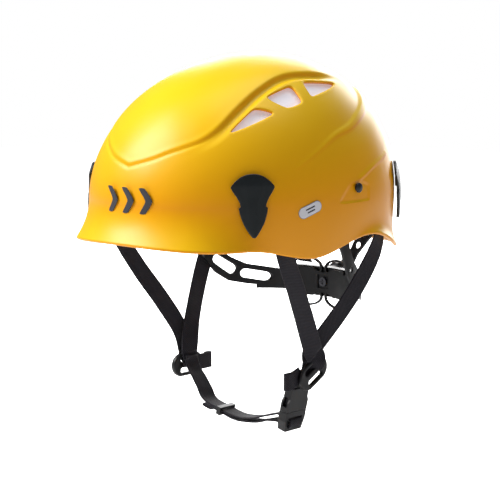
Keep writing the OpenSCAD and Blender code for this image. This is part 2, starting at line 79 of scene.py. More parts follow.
def smooth(a, b, x):
    k = np.clip((np.asarray(x, float) - a) / (b - a), 0, 1)
    return k * k * (3 - 2 * k)


def folded(phi):
    p = np.mod(phi, 360)
    return np.minimum(p, 360 - p)


def rim_z(phi):
    p = folded(phi)
    z = np.full_like(p, RIM[-1][1], dtype=float)
    for (a, za), (b, zb) in zip(RIM, RIM[1:]):
        here = (p >= a) & (p <= b)
        z = np.where(here, za + (zb - za) * smooth(a, b, p), z)
    return z


def shell_at(phi, t, inset=0.0):
    """A point of the shell, as part.scad has it."""
    phi, t = np.broadcast_arrays(np.asarray(phi, float), np.asarray(t, float))
    rise = np.radians(90 * (1 - np.minimum(t, 1)))
    u = np.maximum(t - 1, 0)
    a, b = HALF_L - inset, HALF_W - inset
    sn, cs = np.sin(np.radians(phi)), np.cos(np.radians(phi))
    s = np.sign(sn) * np.abs(sn) ** (2 / SQUARENESS)
    c = np.sign(cs) * np.abs(cs) ** (2 / SQUARENESS)
    k = np.where(t <= 1, np.cos(rise), 1 - TUCK * u * u)
    r = np.hypot(b * s, a * c)
    p = folded(phi)
    flare = (1.5 + BRIM_FLARE * (1 - smooth(28, 68, p))) * u ** 2
    flare = flare + LIP_FLARE * smooth(85, 120, p) * u ** 5
    f = flare / r
    rim = rim_z(phi)
    z = np.where(t <= 1, EQUATOR + (DOME_H - inset) * np.sin(rise), EQUATOR + (rim - EQUATOR) * u)
    y = CROWN_SHIFT * np.sin(rise) ** 1.5 - a * c * (k + f)
    return np.stack([b * s * (k + f), y, z], -1)


def shell_normal(phi, t):
    """The outward direction of the plain surface."""
    t = np.maximum(t, 0.01)
    du = shell_at(phi + 0.4, t) - shell_at(phi - 0.4, t)
    dv = shell_at(phi, t + 0.004) - shell_at(phi, np.maximum(t - 0.004, 0.001))
    n = np.cross(dv, du)
    n /= np.linalg.norm(n, axis=-1, keepdims=True) + 1e-12
    return n


def row_of(phi, z):
    """The row t of the shell at height z."""
    if z >= EQUATOR:
        return 1 - math.degrees(math.asin((z - EQUATOR) / DOME_H)) / 90
    return 1 + (EQUATOR - z) / (EQUATOR - float(rim_z(np.array(float(phi)))))


def spline(points, steps=8, closed=False):
    """A smooth line through the points."""
    p = np.asarray(points, float)
    n = len(p)
    out = []
    for i in range(n if closed else n - 1):
        if closed:
            a, b, c, d = p[i - 1], p[i], p[(i + 1) % n], p[(i + 2) % n]
        else:
            a, b, c, d = p[max(i - 1, 0)], p[i], p[i + 1], p[min(i + 2, n - 1)]
        for k in range(steps):
            s = k / steps
            out.append(0.5 * (2 * b + (c - a) * s + (2 * a - 5 * b + 4 * c - d) * s ** 2
                              + (3 * b - a - 3 * c + d) * s ** 3))
    if not closed:
        out.append(p[-1])
    return np.array(out)


def chaikin(points, rounds=3, cut=0.25):
    """Rounds the corners of a closed outline."""
    p = np.asarray(points, float)
    for _ in range(rounds):
        q = np.roll(p, -1, 0)
        p = np.stack([p + (q - p) * cut, q - (q - p) * cut], 1).reshape(-1, p.shape[1])
        cut = 0.25
    return p


def resample(points, n, closed=True):
    p = np.asarray(points, float)
    if closed:
        p = np.vstack([p, p[:1]])
    s = np.concatenate([[0], np.cumsum(np.linalg.norm(np.diff(p, axis=0), axis=1))])
    at = np.linspace(0, s[-1], n, endpoint=not closed)
    return np.stack([np.interp(at, s, p[:, k]) for k in range(p.shape[1])], 1)


def inside(x, y, poly):
    """Which of the points lie in a closed outline."""
    hit = np.zeros(x.shape, bool)
    px, py = poly[:, 0], poly[:, 1]
    for i in range(len(poly)):
        x1, y1, x2, y2 = px[i - 1], py[i - 1], px[i], py[i]
        cross = (y1 > y) != (y2 > y)
        with np.errstate(divide="ignore", invalid="ignore"):
            xi = (x2 - x1) * (y - y1) / (y2 - y1 + 1e-15) + x1
        hit ^= cross & (x < xi)
    return hit


def plan(phi, t):
    """The dome rolled flat, with the crown at the middle."""
    a = np.radians(phi)
    return t * np.sin(a), t * np.cos(a)


def line_distance(points, line):
    """Distance from each point to a line in space, and how far along the line it is, 0 to 1."""
    best = np.full(points.shape[:-1], 1e9)
    where = np.zeros(points.shape[:-1])
    n = len(line) - 1
    for i in range(n):
        a, b = line[i], line[i + 1]
        ab = b - a
        s = np.clip(((points - a) @ ab) / (ab @ ab + 1e-12), 0, 1)
        d = np.linalg.norm(points - a - s[..., None] * ab, axis=-1)
        closer = d < best
        best = np.where(closer, d, best)
        where = np.where(closer, (i + s) / n, where)
    return best, where


# Edge of the crown panel on the left, as (angle, row), from the brow's centre to the back
PANEL_EDGE = [(0, 0.838), (7, 0.817), (12, 0.8), (17.5, 0.775), (23.5, 0.751), (29.5, 0.724),
              (33.7, 0.692), (37, 0.65), (40.3, 0.595), (44.3, 0.536), (49, 0.479), (55, 0.427),
              (62, 0.384), (71, 0.354), (82, 0.344), (95, 0.347), (108, 0.362), (124, 0.39),
              (145, 0.41), (163, 0.42), (180, 0.423)]
REAR_CREASE = [(68, 0.84), (76, 0.78), (86, 0.708), (96, 0.667), (105, 0.622), (115.5, 0.576),
               (126, 0.529), (140, 0.485), (158, 0.455), (180, 0.445)]
SIDE_RIB = [(94.5, 0.91), (99, 0.885), (104, 0.86), (111, 0.835), (119, 0.81)]
POCKET = [(85.5, 1.0), (90.5, 0.925), (97, 0.92), (100.5, 0.935), (100.5, 1.03), (88, 1.02)]
VENTS = [
    [(39.5, 0.69), (50, 0.555), (60.5, 0.585)],
    [(55, 0.497), (71.5, 0.423), (75, 0.53), (66, 0.562)],
    [(80, 0.4), (108, 0.42), (86, 0.485), (81, 0.5)]]


def panel_outline():
    left = spline(PANEL_EDGE, 6)
    right = left[::-1][1:-1] * [-1, 1]
    return np.vstack([left, right])


def relief(phi, t):
    """How far the moulded features stand out from the plain surface."""
    p = folded(phi)
    at = shell_at(p, t)
    edge = spline(PANEL_EDGE, 6)
    d, s = line_distance(at, shell_at(edge[:, 0], edge[:, 1]))
    outline = np.stack(plan(panel_outline()[:, 0], panel_outline()[:, 1]), 1)
    x, y = plan(p, t)
    d = np.where(inside(x, y, outline), d, -d)
    where = np.interp(s, np.linspace(0, 1, len(edge)), edge[:, 0])
    step = smooth(24, 46, where) * (1 - smooth(92, 122, where))
    groove = (1 - smooth(30, 52, where)) * smooth(-1, 1.5, where + 1.5)
    out = -0.75 * groove * np.exp(-(d / 1.3) ** 2)
    out = out + 0.35 * groove * np.exp(-((d - 3.2) / 2.2) ** 2)
    out = out + 0.8 * step * smooth(-1.6, 2.2, d) * (1 - smooth(4, 34, d))
    out = out - 2.5 * step * (1 - smooth(-2.6, 1.6, d)) * smooth(-9.5, -3.2, d)
    crease = spline(REAR_CREASE, 6)
    d, s = line_distance(at, shell_at(crease[:, 0], crease[:, 1]))
    where = np.interp(s, np.linspace(0, 1, len(crease)), crease[:, 0])
    grow = smooth(66, 118, where)
    half = 0.5 + 2.6 * grow
    out = out + (0.25 + 0.75 * grow) * (1 - smooth(half - 0.5, half + 1.1, d))
    out = out - 0.9 * grow * smooth(half - 0.4, half + 1.6, d) * (1 - smooth(half + 2, half + 17, d))
    rib = spline(SIDE_RIB, 6)
    d, s = line_distance(at, shell_at(rib[:, 0], rib[:, 1]))
    out = out + 0.75 * (1 - smooth(0.9, 2.0, d)) * smooth(0, 0.1, s)
    pocket = chaikin(POCKET, 2, 0.12)
    line = shell_at(pocket[:, 0], pocket[:, 1])
    d, _ = line_distance(at, np.vstack([line, line[:1]]))
    d = np.where(inside(p, t, pocket), d, -d)
    out = out - 0.8 * smooth(-0.6, 0.8, d)
    return out


def skin(phi, t, inset=0.0):
    """A point of the outer face with its relief, moved inwards by inset."""
    p = shell_at(phi, t)
    n = shell_normal(phi, t)
    return p + n * (relief(phi, t) - inset)[..., None]


# ---------------------------------------------------------------- making meshes
def mesh_object(name, verts, faces, uv=None):
    """A mesh object from millimetres."""
    me = bpy.data.meshes.new(name)
    me.from_pydata((np.asarray(verts, float) * MM).tolist(), [], [tuple(f) for f in faces])
    me.update()
    ob = bpy.data.objects.new(name, me)
    scene.collection.objects.link(ob)
    if uv is not None:
        layer = me.uv_layers.new(name="weave")
        loop_verts = np.zeros(len(me.loops), int)
        me.loops.foreach_get("vertex_index", loop_verts)
        layer.data.foreach_set("uv", np.asarray(uv, float)[loop_verts].ravel())
    me.polygons.foreach_set("use_smooth", np.ones(len(me.polygons), bool))
    return ob


def tidy(ob, recalc=True):
    bm = bmesh.new()
    bm.from_mesh(ob.data)
    bmesh.ops.remove_doubles(bm, verts=bm.verts, dist=1e-6)
    bmesh.ops.dissolve_degenerate(bm, edges=bm.edges, dist=1e-7)
    if recalc:
        bmesh.ops.recalc_face_normals(bm, faces=bm.faces)
    bm.to_mesh(ob.data)
    bm.free()
    return ob


def place(ob, body, material, stands_for=()):
    """Gives a piece its material, its body and the CAD nodes that it stands for."""
    ob.data.materials.clear()
    ob.data.materials.append(material)
    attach(ob, body)
    if stands_for:
        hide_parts(*stands_for)
    return ob


def sharpen(ob, angle=35):
    """Smooth shading with the edges over an angle kept crisp."""
    bm = bmesh.new()
    bm.from_mesh(ob.data)
    limit = math.radians(angle)
    for e in bm.edges:
        e.smooth = not (len(e.link_faces) == 2 and e.calc_face_angle(0) > limit)
    for f in bm.faces:
        f.smooth = True
    bm.to_mesh(ob.data)
    bm.free()
    return ob


def boundary_loops(faces):
    """The closed loops of edges that only one face uses."""
    seen = {}
    for f in faces:
        for a, b in zip(f, f[1:] + f[:1]):
            seen[(a, b)] = True
    follow = {b: a for (a, b) in seen if (b, a) not in seen}
    loops = []
    while follow:
        start, at = follow.popitem()
        loop = [start, at]
        while at in follow:
            at = follow.pop(at)
            loop.append(at)
        loops.append(loop[:-1] if loop[-1] == loop[0] else loop)
    return loops


def zip_loops(points, a, b):
    """Triangles between two closed loops of vertex numbers that run the same way round."""
    pa, pb = points[a], points[b]
    start = int(np.argmin(np.linalg.norm(pb - pa[0], axis=1)))
    b = b[start:] + b[:start]
    pb = points[b]
    i = j = 0
    faces = []
    while i < len(a) or j < len(b):
        ai, bj = a[i % len(a)], b[j % len(b)]
        an, bn = a[(i + 1) % len(a)], b[(j + 1) % len(b)]
        step_a = np.linalg.norm(points[an] - points[bj])
        step_b = np.linalg.norm(points[bn] - points[ai])
        if j >= len(b) or (i < len(a) and step_a <= step_b):
            faces.append([ai, an, bj])
            i += 1
        else:
            faces.append([ai, bn, bj])
            j += 1
    return faces


def turn_sense(xy):
    x, y = xy[:, 0], xy[:, 1]
    return np.sign(np.sum(x * np.roll(y, -1) - np.roll(x, -1) * y))


def vent_line(vent, side, n=150):
    """Rounded outline of a vent, evenly spaced on the surface."""
    v = chaikin(vent, 3, 0.13) * [side, 1]
    dense = resample(v, 500)
    at = shell_at(dense[:, 0], dense[:, 1])
    step = np.linalg.norm(np.roll(at, -1, 0) - at, axis=1)
    s = np.concatenate([[0], np.cumsum(step)])
    dense = np.vstack([dense, dense[:1]])
    want = np.linspace(0, s[-1], n, endpoint=False)
    return np.stack([np.interp(want, s, dense[:, k]) for k in (0, 1)], 1)


def grown(line, by):
    """An outline on the surface moved outwards by a distance."""
    at = shell_at(line[:, 0], line[:, 1])
    n = shell_normal(line[:, 0], line[:, 1])
    along = np.roll(at, -1, 0) - np.roll(at, 1, 0)
    along /= np.linalg.norm(along, axis=1, keepdims=True)
    out = np.cross(along, n)
    if np.mean(np.sum(out * (at - at.mean(0)), axis=1)) < 0:
        out = -out
    du = (shell_at(line[:, 0] + 0.5, line[:, 1]) - at) / 0.5
    dv = (shell_at(line[:, 0], line[:, 1] + 0.005) - at) / 0.005
    moved = line.copy()
    for i in range(len(line)):
        jac = np.stack([du[i], dv[i]], 1)
        moved[i] += np.linalg.lstsq(jac, out[i] * by, rcond=None)[0]
    return moved


def grid_face(around, rows, face_in=False):
    """Faces of a dome grid whose first vertex is the crown."""
    faces = []
    for j in range(around):
        k = (j + 1) % around
        faces.append([0, 1 + j, 1 + k])
        for i in range(rows - 1):
            p = 1 + i * around
            faces.append([p + j, p + around + j, p + around + k, p + k])
    return [f[::-1] for f in faces] if face_in else faces


def make_shell():
    around, rows_outer, rows_inner = 600, 196, 90
    edge_t = 1.968
    lines = [vent_line(v, side) for v in VENTS for side in (1, -1)]
    points, faces = [], []
    count = 0
    rims = []

    def add(p):
        nonlocal count
        points.append(p)
        first = count
        count += len(p)
        return list(range(first, count))

    rings = {}
    for outer in (True, False):
        rows = rows_outer if outer else rows_inner
        dome = int(rows * 0.72)
        t = np.concatenate([np.arange(1, dome + 1) / dome,
                            1 + (edge_t - 1) * np.arange(1, rows - dome + 1) / (rows - dome)])
        phi = np.arange(around) * 360 / around
        gphi, gt = np.meshgrid(phi, t)
        gphi = np.concatenate([[0.0], gphi.ravel()])
        gt = np.concatenate([[0.002], gt.ravel()])
        at = skin(gphi, gt) if outer else shell_at(gphi, gt, WALL)
        base = shell_at(gphi, gt)
        x, y = plan(gphi, gt)
        first = count
        add(at)
        own = grid_face(around, len(t), not outer)
        drop = np.zeros(len(at), bool)
        for line in lines:
            loop = shell_at(line[:, 0], line[:, 1])
            near = np.linalg.norm(base - loop.mean(0), axis=1) < 45
            d = np.full(len(at), 1e9)
            d[near] = line_distance(base[near], np.vstack([loop, loop[:1]]))[0]
            px, py = plan(line[:, 0], line[:, 1])
            hit = np.zeros(len(at), bool)
            hit[near] = inside(x[near], y[near], np.stack([px, py], 1))
            drop |= hit | (d < (2.2 if outer else 1.9))
        kept = [f for f in own if not drop[f].any()]
        faces += [[v + first for v in f] for f in kept]
        loops = boundary_loops(kept)
        loops.sort(key=len)
        rims.append([v + first for v in loops[-1]])
        for loop in loops[:-1]:
            if len(loop) < 20:
                continue
            middle = at[loop].mean(0)
            k = int(np.argmin([np.linalg.norm(shell_at(q[:, 0], q[:, 1]).mean(0) - middle)
                               for q in lines]))
            rings.setdefault(k, {})[outer] = ([v + first for v in loop],
                                              np.stack(plan(gphi[loop], gt[loop]), 1))
    pending = []
    for k, line in enumerate(lines):
        profile = [(1.3, 0.0), (0.9, 0.1), (0.5, 0.3), (0.2, 0.6), (0.0, 1.0), (0.0, 1.3),
                   (0.3, 1.8), (0.7, 2.4), (1.0, WALL)]
        loops = []
        for grow, deep in profile:
            q = grown(line, grow) if grow else line
            loops.append(add(skin(q[:, 0], q[:, 1], np.full(len(q), deep))))
        sense = turn_sense(np.stack(plan(line[:, 0], line[:, 1]), 1))
        for a, b in zip(loops, loops[1:]):
            n = len(a)
            for j in range(n):
                i = (j + 1) % n
                faces.append([a[j], a[i], b[i], b[j]])
        for outer, mine in ((True, loops[0]), (False, loops[-1])):
            loop, xy = rings[k][outer]
            if turn_sense(xy) != sense:
                loop = loop[::-1]
            pending.append((loop, mine))
    phi = np.arange(around) * 360 / around
    down = shell_at(phi, 2.0) - shell_at(phi, 1.96)
    down /= np.linalg.norm(down, axis=1, keepdims=True)
    arcs = []
    for k in range(1, 8):
        a = math.pi * k / 8
        q = skin(phi, np.full(around, edge_t), np.full(around, WALL / 2 * (1 - math.cos(a))))
        arcs.append(add(q + down * WALL / 2 * math.sin(a)))
    all_points = np.vstack(points)
    for a, b in zip(arcs, arcs[1:]):
        for j in range(around):
            i = (j + 1) % around
            faces.append([a[j], b[j], b[i], a[i]])
    for rim, arc in ((rims[0], arcs[0]), (rims[1], arcs[-1])):
        if turn_sense(all_points[rim][:, :2]) != turn_sense(all_points[arc][:, :2]):
            rim = rim[::-1]
        faces += zip_loops(all_points, rim, arc)
    for a, b in pending:
        faces += zip_loops(all_points, a, b)
    ob = mesh_object("helmet_shell", all_points, faces)
    return tidy(ob)


def plate(name, loops, thick, bevel, bend=None, pitch=3.0, steps=2):
    """A flat moulding with rounded edges. Its loops are closed outlines in its own plane, holes
    among them; bend carries a point (x, y, z) with z through the thickness to the row frame."""
    cu = bpy.data.curves.new(name, "CURVE")
    cu.dimensions = "2D"
    cu.fill_mode = "BOTH"
    cu.bevel_depth = bevel
    cu.offset = -bevel
    cu.extrude = max(thick / 2 - bevel, 0.0)
    cu.bevel_resolution = steps
    for loop in loops:
        sp = cu.splines.new("POLY")
        sp.points.add(len(loop) - 1)
        flat = np.zeros((len(loop), 4))
        flat[:, :2] = loop
        flat[:, 3] = 1
        sp.points.foreach_set("co", flat.ravel())
        sp.use_cyclic_u = True
    source = bpy.data.objects.new(name, cu)
    scene.collection.objects.link(source)
    bpy.context.view_layer.update()
    made = bpy.data.meshes.new_from_object(source.evaluated_get(
        bpy.context.evaluated_depsgraph_get()))
    bpy.data.objects.remove(source)
    bpy.data.curves.remove(cu)
    bm = bmesh.new()
    bm.from_mesh(made)
    bpy.data.meshes.remove(made)
    bmesh.ops.remove_doubles(bm, verts=bm.verts, dist=1e-4)
    if bend and pitch:
        every = np.array([v.co[:] for v in bm.verts])
        for axis in (0, 1):
            lo, hi = every[:, axis].min(), every[:, axis].max()
            n = int((hi - lo) / pitch)
            for k in range(1, n + 1):
                at = [0, 0, 0]
                at[axis] = lo + (hi - lo) * k / (n + 1)
                way = [0, 0, 0]
                way[axis] = 1
                bmesh.ops.bisect_plane(bm, geom=bm.verts[:] + bm.edges[:] + bm.faces[:],
                                       dist=1e-4, plane_co=at, plane_no=way)
    co = np.array([v.co[:] for v in bm.verts])
    if bend:
        co = bend(co)
    for v, p in zip(bm.verts, co):
        v.co = p * MM
    bmesh.ops.remove_doubles(bm, verts=bm.verts, dist=1e-6)
    bmesh.ops.recalc_face_normals(bm, faces=bm.faces)
    me = bpy.data.meshes.new(name)
    bm.to_mesh(me)
    bm.free()
    ob = bpy.data.objects.new(name, me)
    scene.collection.objects.link(ob)
    return sharpen(ob, 32)


def oval(long, high, n=40, cx=0.0, cy=0.0):
    """Outline of a slot: a bar with round ends."""
    out = []
    for k in (1, -1):
        for a in np.linspace(-90, 90, n // 2) + (0 if k > 0 else 180):
            out.append((cx + k * (long - high) / 2 + high / 2 * math.cos(math.radians(a)),
                        cy + high / 2 * math.sin(math.radians(a))))
    return np.array(out)


def rotated(p, degrees):
    a = math.radians(degrees)
    m = np.array([[math.cos(a), math.sin(a)], [-math.sin(a), math.cos(a)]])
    return np.asarray(p, float) @ m


def frame_at(phi, z):
    """Origin and axes that stand on the shell: outwards, round it, and up."""
    p = shell_at(float(phi), row_of(phi, z))
    a = math.atan2(p[1] / HALF_L ** 2, p[0] / HALF_W ** 2)
    return p, np.array([math.cos(a), math.sin(a), 0]), np.array([-math.sin(a), math.cos(a), 0])


def on_wall(phi, z, radius, lift, tilt=0.0, side=1):
    """Bends a plate round the shell: its x runs round, its y up and its z outwards."""
    p, out, along = frame_at(phi, z)
    up = np.array([0, 0, 1.0])
    c, s = math.cos(math.radians(tilt)), math.sin(math.radians(tilt))
    out2, up2 = out * c - up * s, up * c + out * s

    def bend(co):
        a = co[:, 0] / radius
        r = radius + co[:, 2]
        x = r * np.cos(a) - radius
        y = r * np.sin(a)
        q = p + out * lift + x[:, None] * out2 + y[:, None] * along + co[:, 1:2] * up2
        return q * [side, 1, 1]
    return bend


def webbing_piece(name, route, face, wide=15.0, thick=1.4, steps=10):
    """Flat woven strap along a smooth route, with a rounded selvedge on both sides."""
    line = spline(route, steps)
    along = np.gradient(line, axis=0)
    along /= np.linalg.norm(along, axis=1, keepdims=True)
    face = np.asarray(face, float)
    if face.ndim == 1:
        face = np.tile(face, (len(line), 1))
    across = np.cross(along, face)
    across /= np.linalg.norm(across, axis=1, keepdims=True)
    out = np.cross(across, along)
    h = thick / 2
    w = wide / 2
    section = [(-w, 0.0), (-w + 0.25, h * 0.75), (-w + 0.9, h * 1.08), (-w + 1.7, h * 0.9)]
    section += [(x, h * 0.9) for x in np.linspace(-w + 3, w - 3, 5)]
    section += [(w - 1.7, h * 0.9), (w - 0.9, h * 1.08), (w - 0.25, h * 0.75), (w, 0.0)]
    section += [(x, -y) for x, y in section[-2:0:-1]]
    section = np.array(section)
    m = len(section)
    length = np.concatenate([[0], np.cumsum(np.linalg.norm(np.diff(line, axis=0), axis=1))])
    verts, uv = [], []
    for i, p in enumerate(line):
        verts.append(p + section[:, :1] * across[i] + section[:, 1:] * out[i])
        uv.append(np.stack([np.full(m, length[i]), section[:, 0]], 1))
    faces = []
    for i in range(len(line) - 1):
        for j in range(m):
            k = (j + 1) % m
            faces.append([i * m + j, i * m + k, (i + 1) * m + k, (i + 1) * m + j])
    faces.append(list(range(m))[::-1])
    last = (len(line) - 1) * m
    faces.append(list(range(last, last + m)))
    ob = mesh_object(name, np.vstack(verts), faces, np.vstack(uv) * MM)
    bm = bmesh.new()
    bm.from_mesh(ob.data)
    bmesh.ops.recalc_face_normals(bm, faces=bm.faces)
    bm.to_mesh(ob.data)
    bm.free()
    return sharpen(ob, 60)


def join(name, parts):
    """One object from several."""
    bm = bmesh.new()
    for o in parts:
        me = o.data
        me.transform(o.matrix_world)
        bm.from_mesh(me)
        bpy.data.objects.remove(o)
    me = bpy.data.meshes.new(name)
    bm.to_mesh(me)
    bm.free()
    ob = bpy.data.objects.new(name, me)
    scene.collection.objects.link(ob)
    return ob


# ---------------------------------------------------------------- materials
def shader(name, colour, roughness, **sockets):
    """A principled material and its node tree; every uniform value sits on its own socket."""
    m = bpy.data.materials.new(name)
    m.use_nodes = True
    tree = m.node_tree
    b = tree.nodes["Principled BSDF"]
    b.inputs["Base Color"].default_value = (*colour, 1)
    b.inputs["Roughness"].default_value = roughness
    for key, value in sockets.items():
        b.inputs[key.replace("_", " ")].default_value = value
    return m, tree, b


def node(tree, kind, **values):
    n = tree.nodes.new(kind)
    for key, value in values.items():
        if hasattr(n, key):
            setattr(n, key, value)
        else:
            n.inputs[key.replace("_", " ")].default_value = value
    return n


def object_space(tree):
    return node(tree, "ShaderNodeTexCoord").outputs["Object"]


def texture(tree, kind, vector, **values):
    """A texture node at these coordinates."""
    made = node(tree, kind, **values)
    tree.links.new(vector, made.inputs["Vector"])
    return made


def spread(tree, source, low, high, to_low=0.0, to_high=1.0):
    """A value carried from one range to another."""
    span = node(tree, "ShaderNodeMapRange", From_Min=low, From_Max=high, To_Min=to_low,
                To_Max=to_high)
    tree.links.new(source, span.inputs["Value"])
    return span.outputs["Result"]


def shaded(tree, source, low, high, near=0.0, far=1.0):
    """A value turned into a colour between two."""
    ramp = node(tree, "ShaderNodeValToRGB")
    for k, (colour, at) in enumerate(((low, near), (high, far))):
        ramp.color_ramp.elements[k].position = at
        ramp.color_ramp.elements[k].color = (*colour, 1)
    tree.links.new(source, ramp.inputs[0])
    return ramp.outputs[0]


def vary(tree, vector, scale, low, high):
    """A noise between two colours."""
    noise = texture(tree, "ShaderNodeTexNoise", vector, Scale=scale, Detail=3.0)
    return shaded(tree, noise.outputs[0], low, high, 0.3, 0.7)


def rough_between(tree, vector, shade, scale, low, high):
    noise = texture(tree, "ShaderNodeTexNoise", vector, Scale=scale, Detail=4.0)
    rough = spread(tree, noise.outputs[0], 0.3, 0.7, low, high)
    tree.links.new(rough, shade.inputs["Roughness"])


def bump_from(tree, shade, height, strength, distance):
    b = node(tree, "ShaderNodeBump", Strength=strength, Distance=distance)
    tree.links.new(height, b.inputs["Height"])
    tree.links.new(b.outputs["Normal"], shade.inputs["Normal"])


def moulded(name, dark, light, roughness, grain=900.0, grain_depth=0.00004, **sockets):
    """Injection-moulded plastic with a fine grain and slight shifts of tone and gloss."""
    m, tree, b = shader(name, light, roughness[0], **sockets)
    v = object_space(tree)
    tree.links.new(vary(tree, v, 18.0, dark, light), b.inputs["Base Color"])
    rough_between(tree, v, b, 60.0, *roughness)
    grit = texture(tree, "ShaderNodeTexNoise", v, Scale=grain, Detail=2.0)
    bump_from(tree, b, grit.outputs[0], 0.5, grain_depth)
    return m


def shell_material():
    m, tree, b = shader("shell_yellow", (0.9, 0.5, 0.006), 0.34)
    b.inputs["Coat Weight"].default_value = 0.08
    b.inputs["Coat Roughness"].default_value = 0.25
    b.inputs["Specular IOR Level"].default_value = 0.25
    v = object_space(tree)
    # Painted shade and light: the base colour runs from a deeper orange on faces that look sideways or
    # down to a lighter yellow on faces that look up, following how the light falls on them, not a
    # change in the moulding's own colour.
    facing = node(tree, "ShaderNodeTexCoord").outputs["Normal"]
    sep = node(tree, "ShaderNodeSeparateXYZ")
    tree.links.new(facing, sep.inputs[0])
    painted_shade_mix = node(tree, "ShaderNodeMix", data_type="RGBA")
    tree.links.new(spread(tree, sep.outputs[2], 0.0, 0.8), painted_shade_mix.inputs["Factor"])
    tree.links.new(vary(tree, v, 9.0, (0.84, 0.325, 0.0004), (0.87, 0.345, 0.0005)), painted_shade_mix.inputs[6])
    tree.links.new(vary(tree, v, 9.0, (0.91, 0.57, 0.0008), (0.94, 0.6, 0.001)), painted_shade_mix.inputs[7])
    tree.links.new(painted_shade_mix.outputs[2], b.inputs["Base Color"])
    rough_between(tree, v, b, 35.0, 0.33, 0.4)
    peel = texture(tree, "ShaderNodeTexNoise", v, Scale=420.0, Detail=2.0)
    bump_from(tree, b, peel.outputs[0], 0.25, 0.00005)
    return m


def web_material():
    """Charcoal polyester webbing: a twill of fine ribs across and threads along the strap."""
    m, tree, b = shader("webbing", (0.014, 0.013, 0.017), 0.72)
    b.inputs["Sheen Weight"].default_value = 0.1
    b.inputs["Specular IOR Level"].default_value = 0.2
    uv = node(tree, "ShaderNodeUVMap")
    uv.uv_map = "weave"
    sep = node(tree, "ShaderNodeSeparateXYZ")
    tree.links.new(uv.outputs["UV"], sep.inputs[0])

    def wave(source, per_metre, shift=None):
        mul = node(tree, "ShaderNodeMath", operation="MULTIPLY")
        mul.inputs[1].default_value = per_metre * 2 * math.pi
        tree.links.new(source, mul.inputs[0])
        last = mul.outputs[0]
        if shift is not None:
            add = node(tree, "ShaderNodeMath", operation="ADD")
            tree.links.new(last, add.inputs[0])
            tree.links.new(shift, add.inputs[1])
            last = add.outputs[0]
        sine = node(tree, "ShaderNodeMath", operation="SINE")
        tree.links.new(last, sine.inputs[0])
        return sine.outputs[0]
    slope = node(tree, "ShaderNodeMath", operation="MULTIPLY")
    slope.inputs[1].default_value = 500 * 2 * math.pi
    tree.links.new(sep.outputs[1], slope.inputs[0])
    ribs = wave(sep.outputs[0], 620, slope.outputs[0])
    threads = wave(sep.outputs[1], 1000)
    both = node(tree, "ShaderNodeMath", operation="ADD")
    tree.links.new(ribs, both.inputs[0])
    tree.links.new(threads, both.inputs[1])
    bump_from(tree, b, both.outputs[0], 0.6, 0.0001)
    weave = spread(tree, both.outputs[0], -2, 2)
    colour = shaded(tree, weave, (0.007, 0.0062, 0.0088), (0.027, 0.024, 0.033))
    tree.links.new(colour, b.inputs["Base Color"])
    return m


def pad_material():
    """Dark knitted mesh over foam."""
    m, tree, b = shader("pad_fabric", (0.05, 0.05, 0.055), 0.85)
    b.inputs["Sheen Weight"].default_value = 0.12
    v = object_space(tree)
    cells = texture(tree, "ShaderNodeTexVoronoi", v, Scale=520.0)
    colour = shaded(tree, cells.outputs["Distance"], (0.006, 0.006, 0.007), (0.035, 0.035, 0.04),
                    far=0.55)
    tree.links.new(colour, b.inputs["Base Color"])
    bump_from(tree, b, cells.outputs["Distance"], 0.8, 0.0004)
    return m


def foam_material():
    """Fused polystyrene beads."""
    m, tree, b = shader("foam_white", (0.78, 0.78, 0.8), 0.8)
    v = object_space(tree)
    beads = texture(tree, "ShaderNodeTexVoronoi", v, Scale=300.0)
    colour = shaded(tree, beads.outputs["Distance"], (0.82, 0.82, 0.84), (0.62, 0.62, 0.66),
                    far=0.8)
    tree.links.new(colour, b.inputs["Base Color"])
    bump_from(tree, b, beads.outputs["Distance"], 0.5, 0.0004)
    return m


def metal_material():
    """Blackened steel with turned marks."""
    m, tree, b = shader("steel", (0.09, 0.09, 0.1), 0.3, Metallic=1.0)
    v = object_space(tree)
    rough_between(tree, v, b, 400.0, 0.22, 0.42)
    grain = texture(tree, "ShaderNodeTexNoise", v, Scale=1500.0)
    bump_from(tree, b, grain.outputs[0], 0.3, 0.00003)
    return m


YELLOW = shell_material()
WEB = web_material()
PAD = pad_material()
FOAM = foam_material()
STEEL = metal_material()
CLIP_BLACK = moulded("clip_black", (0.004, 0.0065, 0.008), (0.0075, 0.012, 0.0145), (0.3, 0.42))
HARNESS = moulded("harness_plastic", (0.005, 0.005, 0.006), (0.01, 0.01, 0.012), (0.36, 0.5),
                  Specular_IOR_Level=0.3)
BUCKLE_BLACK = moulded("buckle_black", (0.005, 0.005, 0.006), (0.01, 0.01, 0.012), (0.3, 0.44),
                       Specular_IOR_Level=0.4)
KNOB = moulded("knob_grey", (0.19, 0.2, 0.215), (0.24, 0.25, 0.265), (0.35, 0.5))
BADGE = moulded("badge_black", (0.02, 0.02, 0.03), (0.03, 0.03, 0.042), (0.45, 0.6))
LABEL = moulded("label_white", (0.66, 0.66, 0.72), (0.72, 0.72, 0.78), (0.4, 0.5))
# Painted light: the shutters glow faintly lavender-white though nothing lights them from within, so the
# vents read bright even where they lie in shade.
SHUTTER = moulded("shutter_white", (0.74, 0.73, 0.8), (0.8, 0.79, 0.85), (0.45, 0.55),
                  Emission_Color=(0.78, 0.78, 0.9, 1), Emission_Strength=0.35)
FINISH = {
    "foam_white": FOAM, "shutter_white": SHUTTER, "clip_black": CLIP_BLACK, "label_white": LABEL,
    "badge_black": BADGE, "harness_plastic": HARNESS, "knob_grey": KNOB, "steel": STEEL,
    "pad_fabric": PAD, "webbing": WEB, "buckle_black": BUCKLE_BLACK, "shell_yellow": YELLOW}


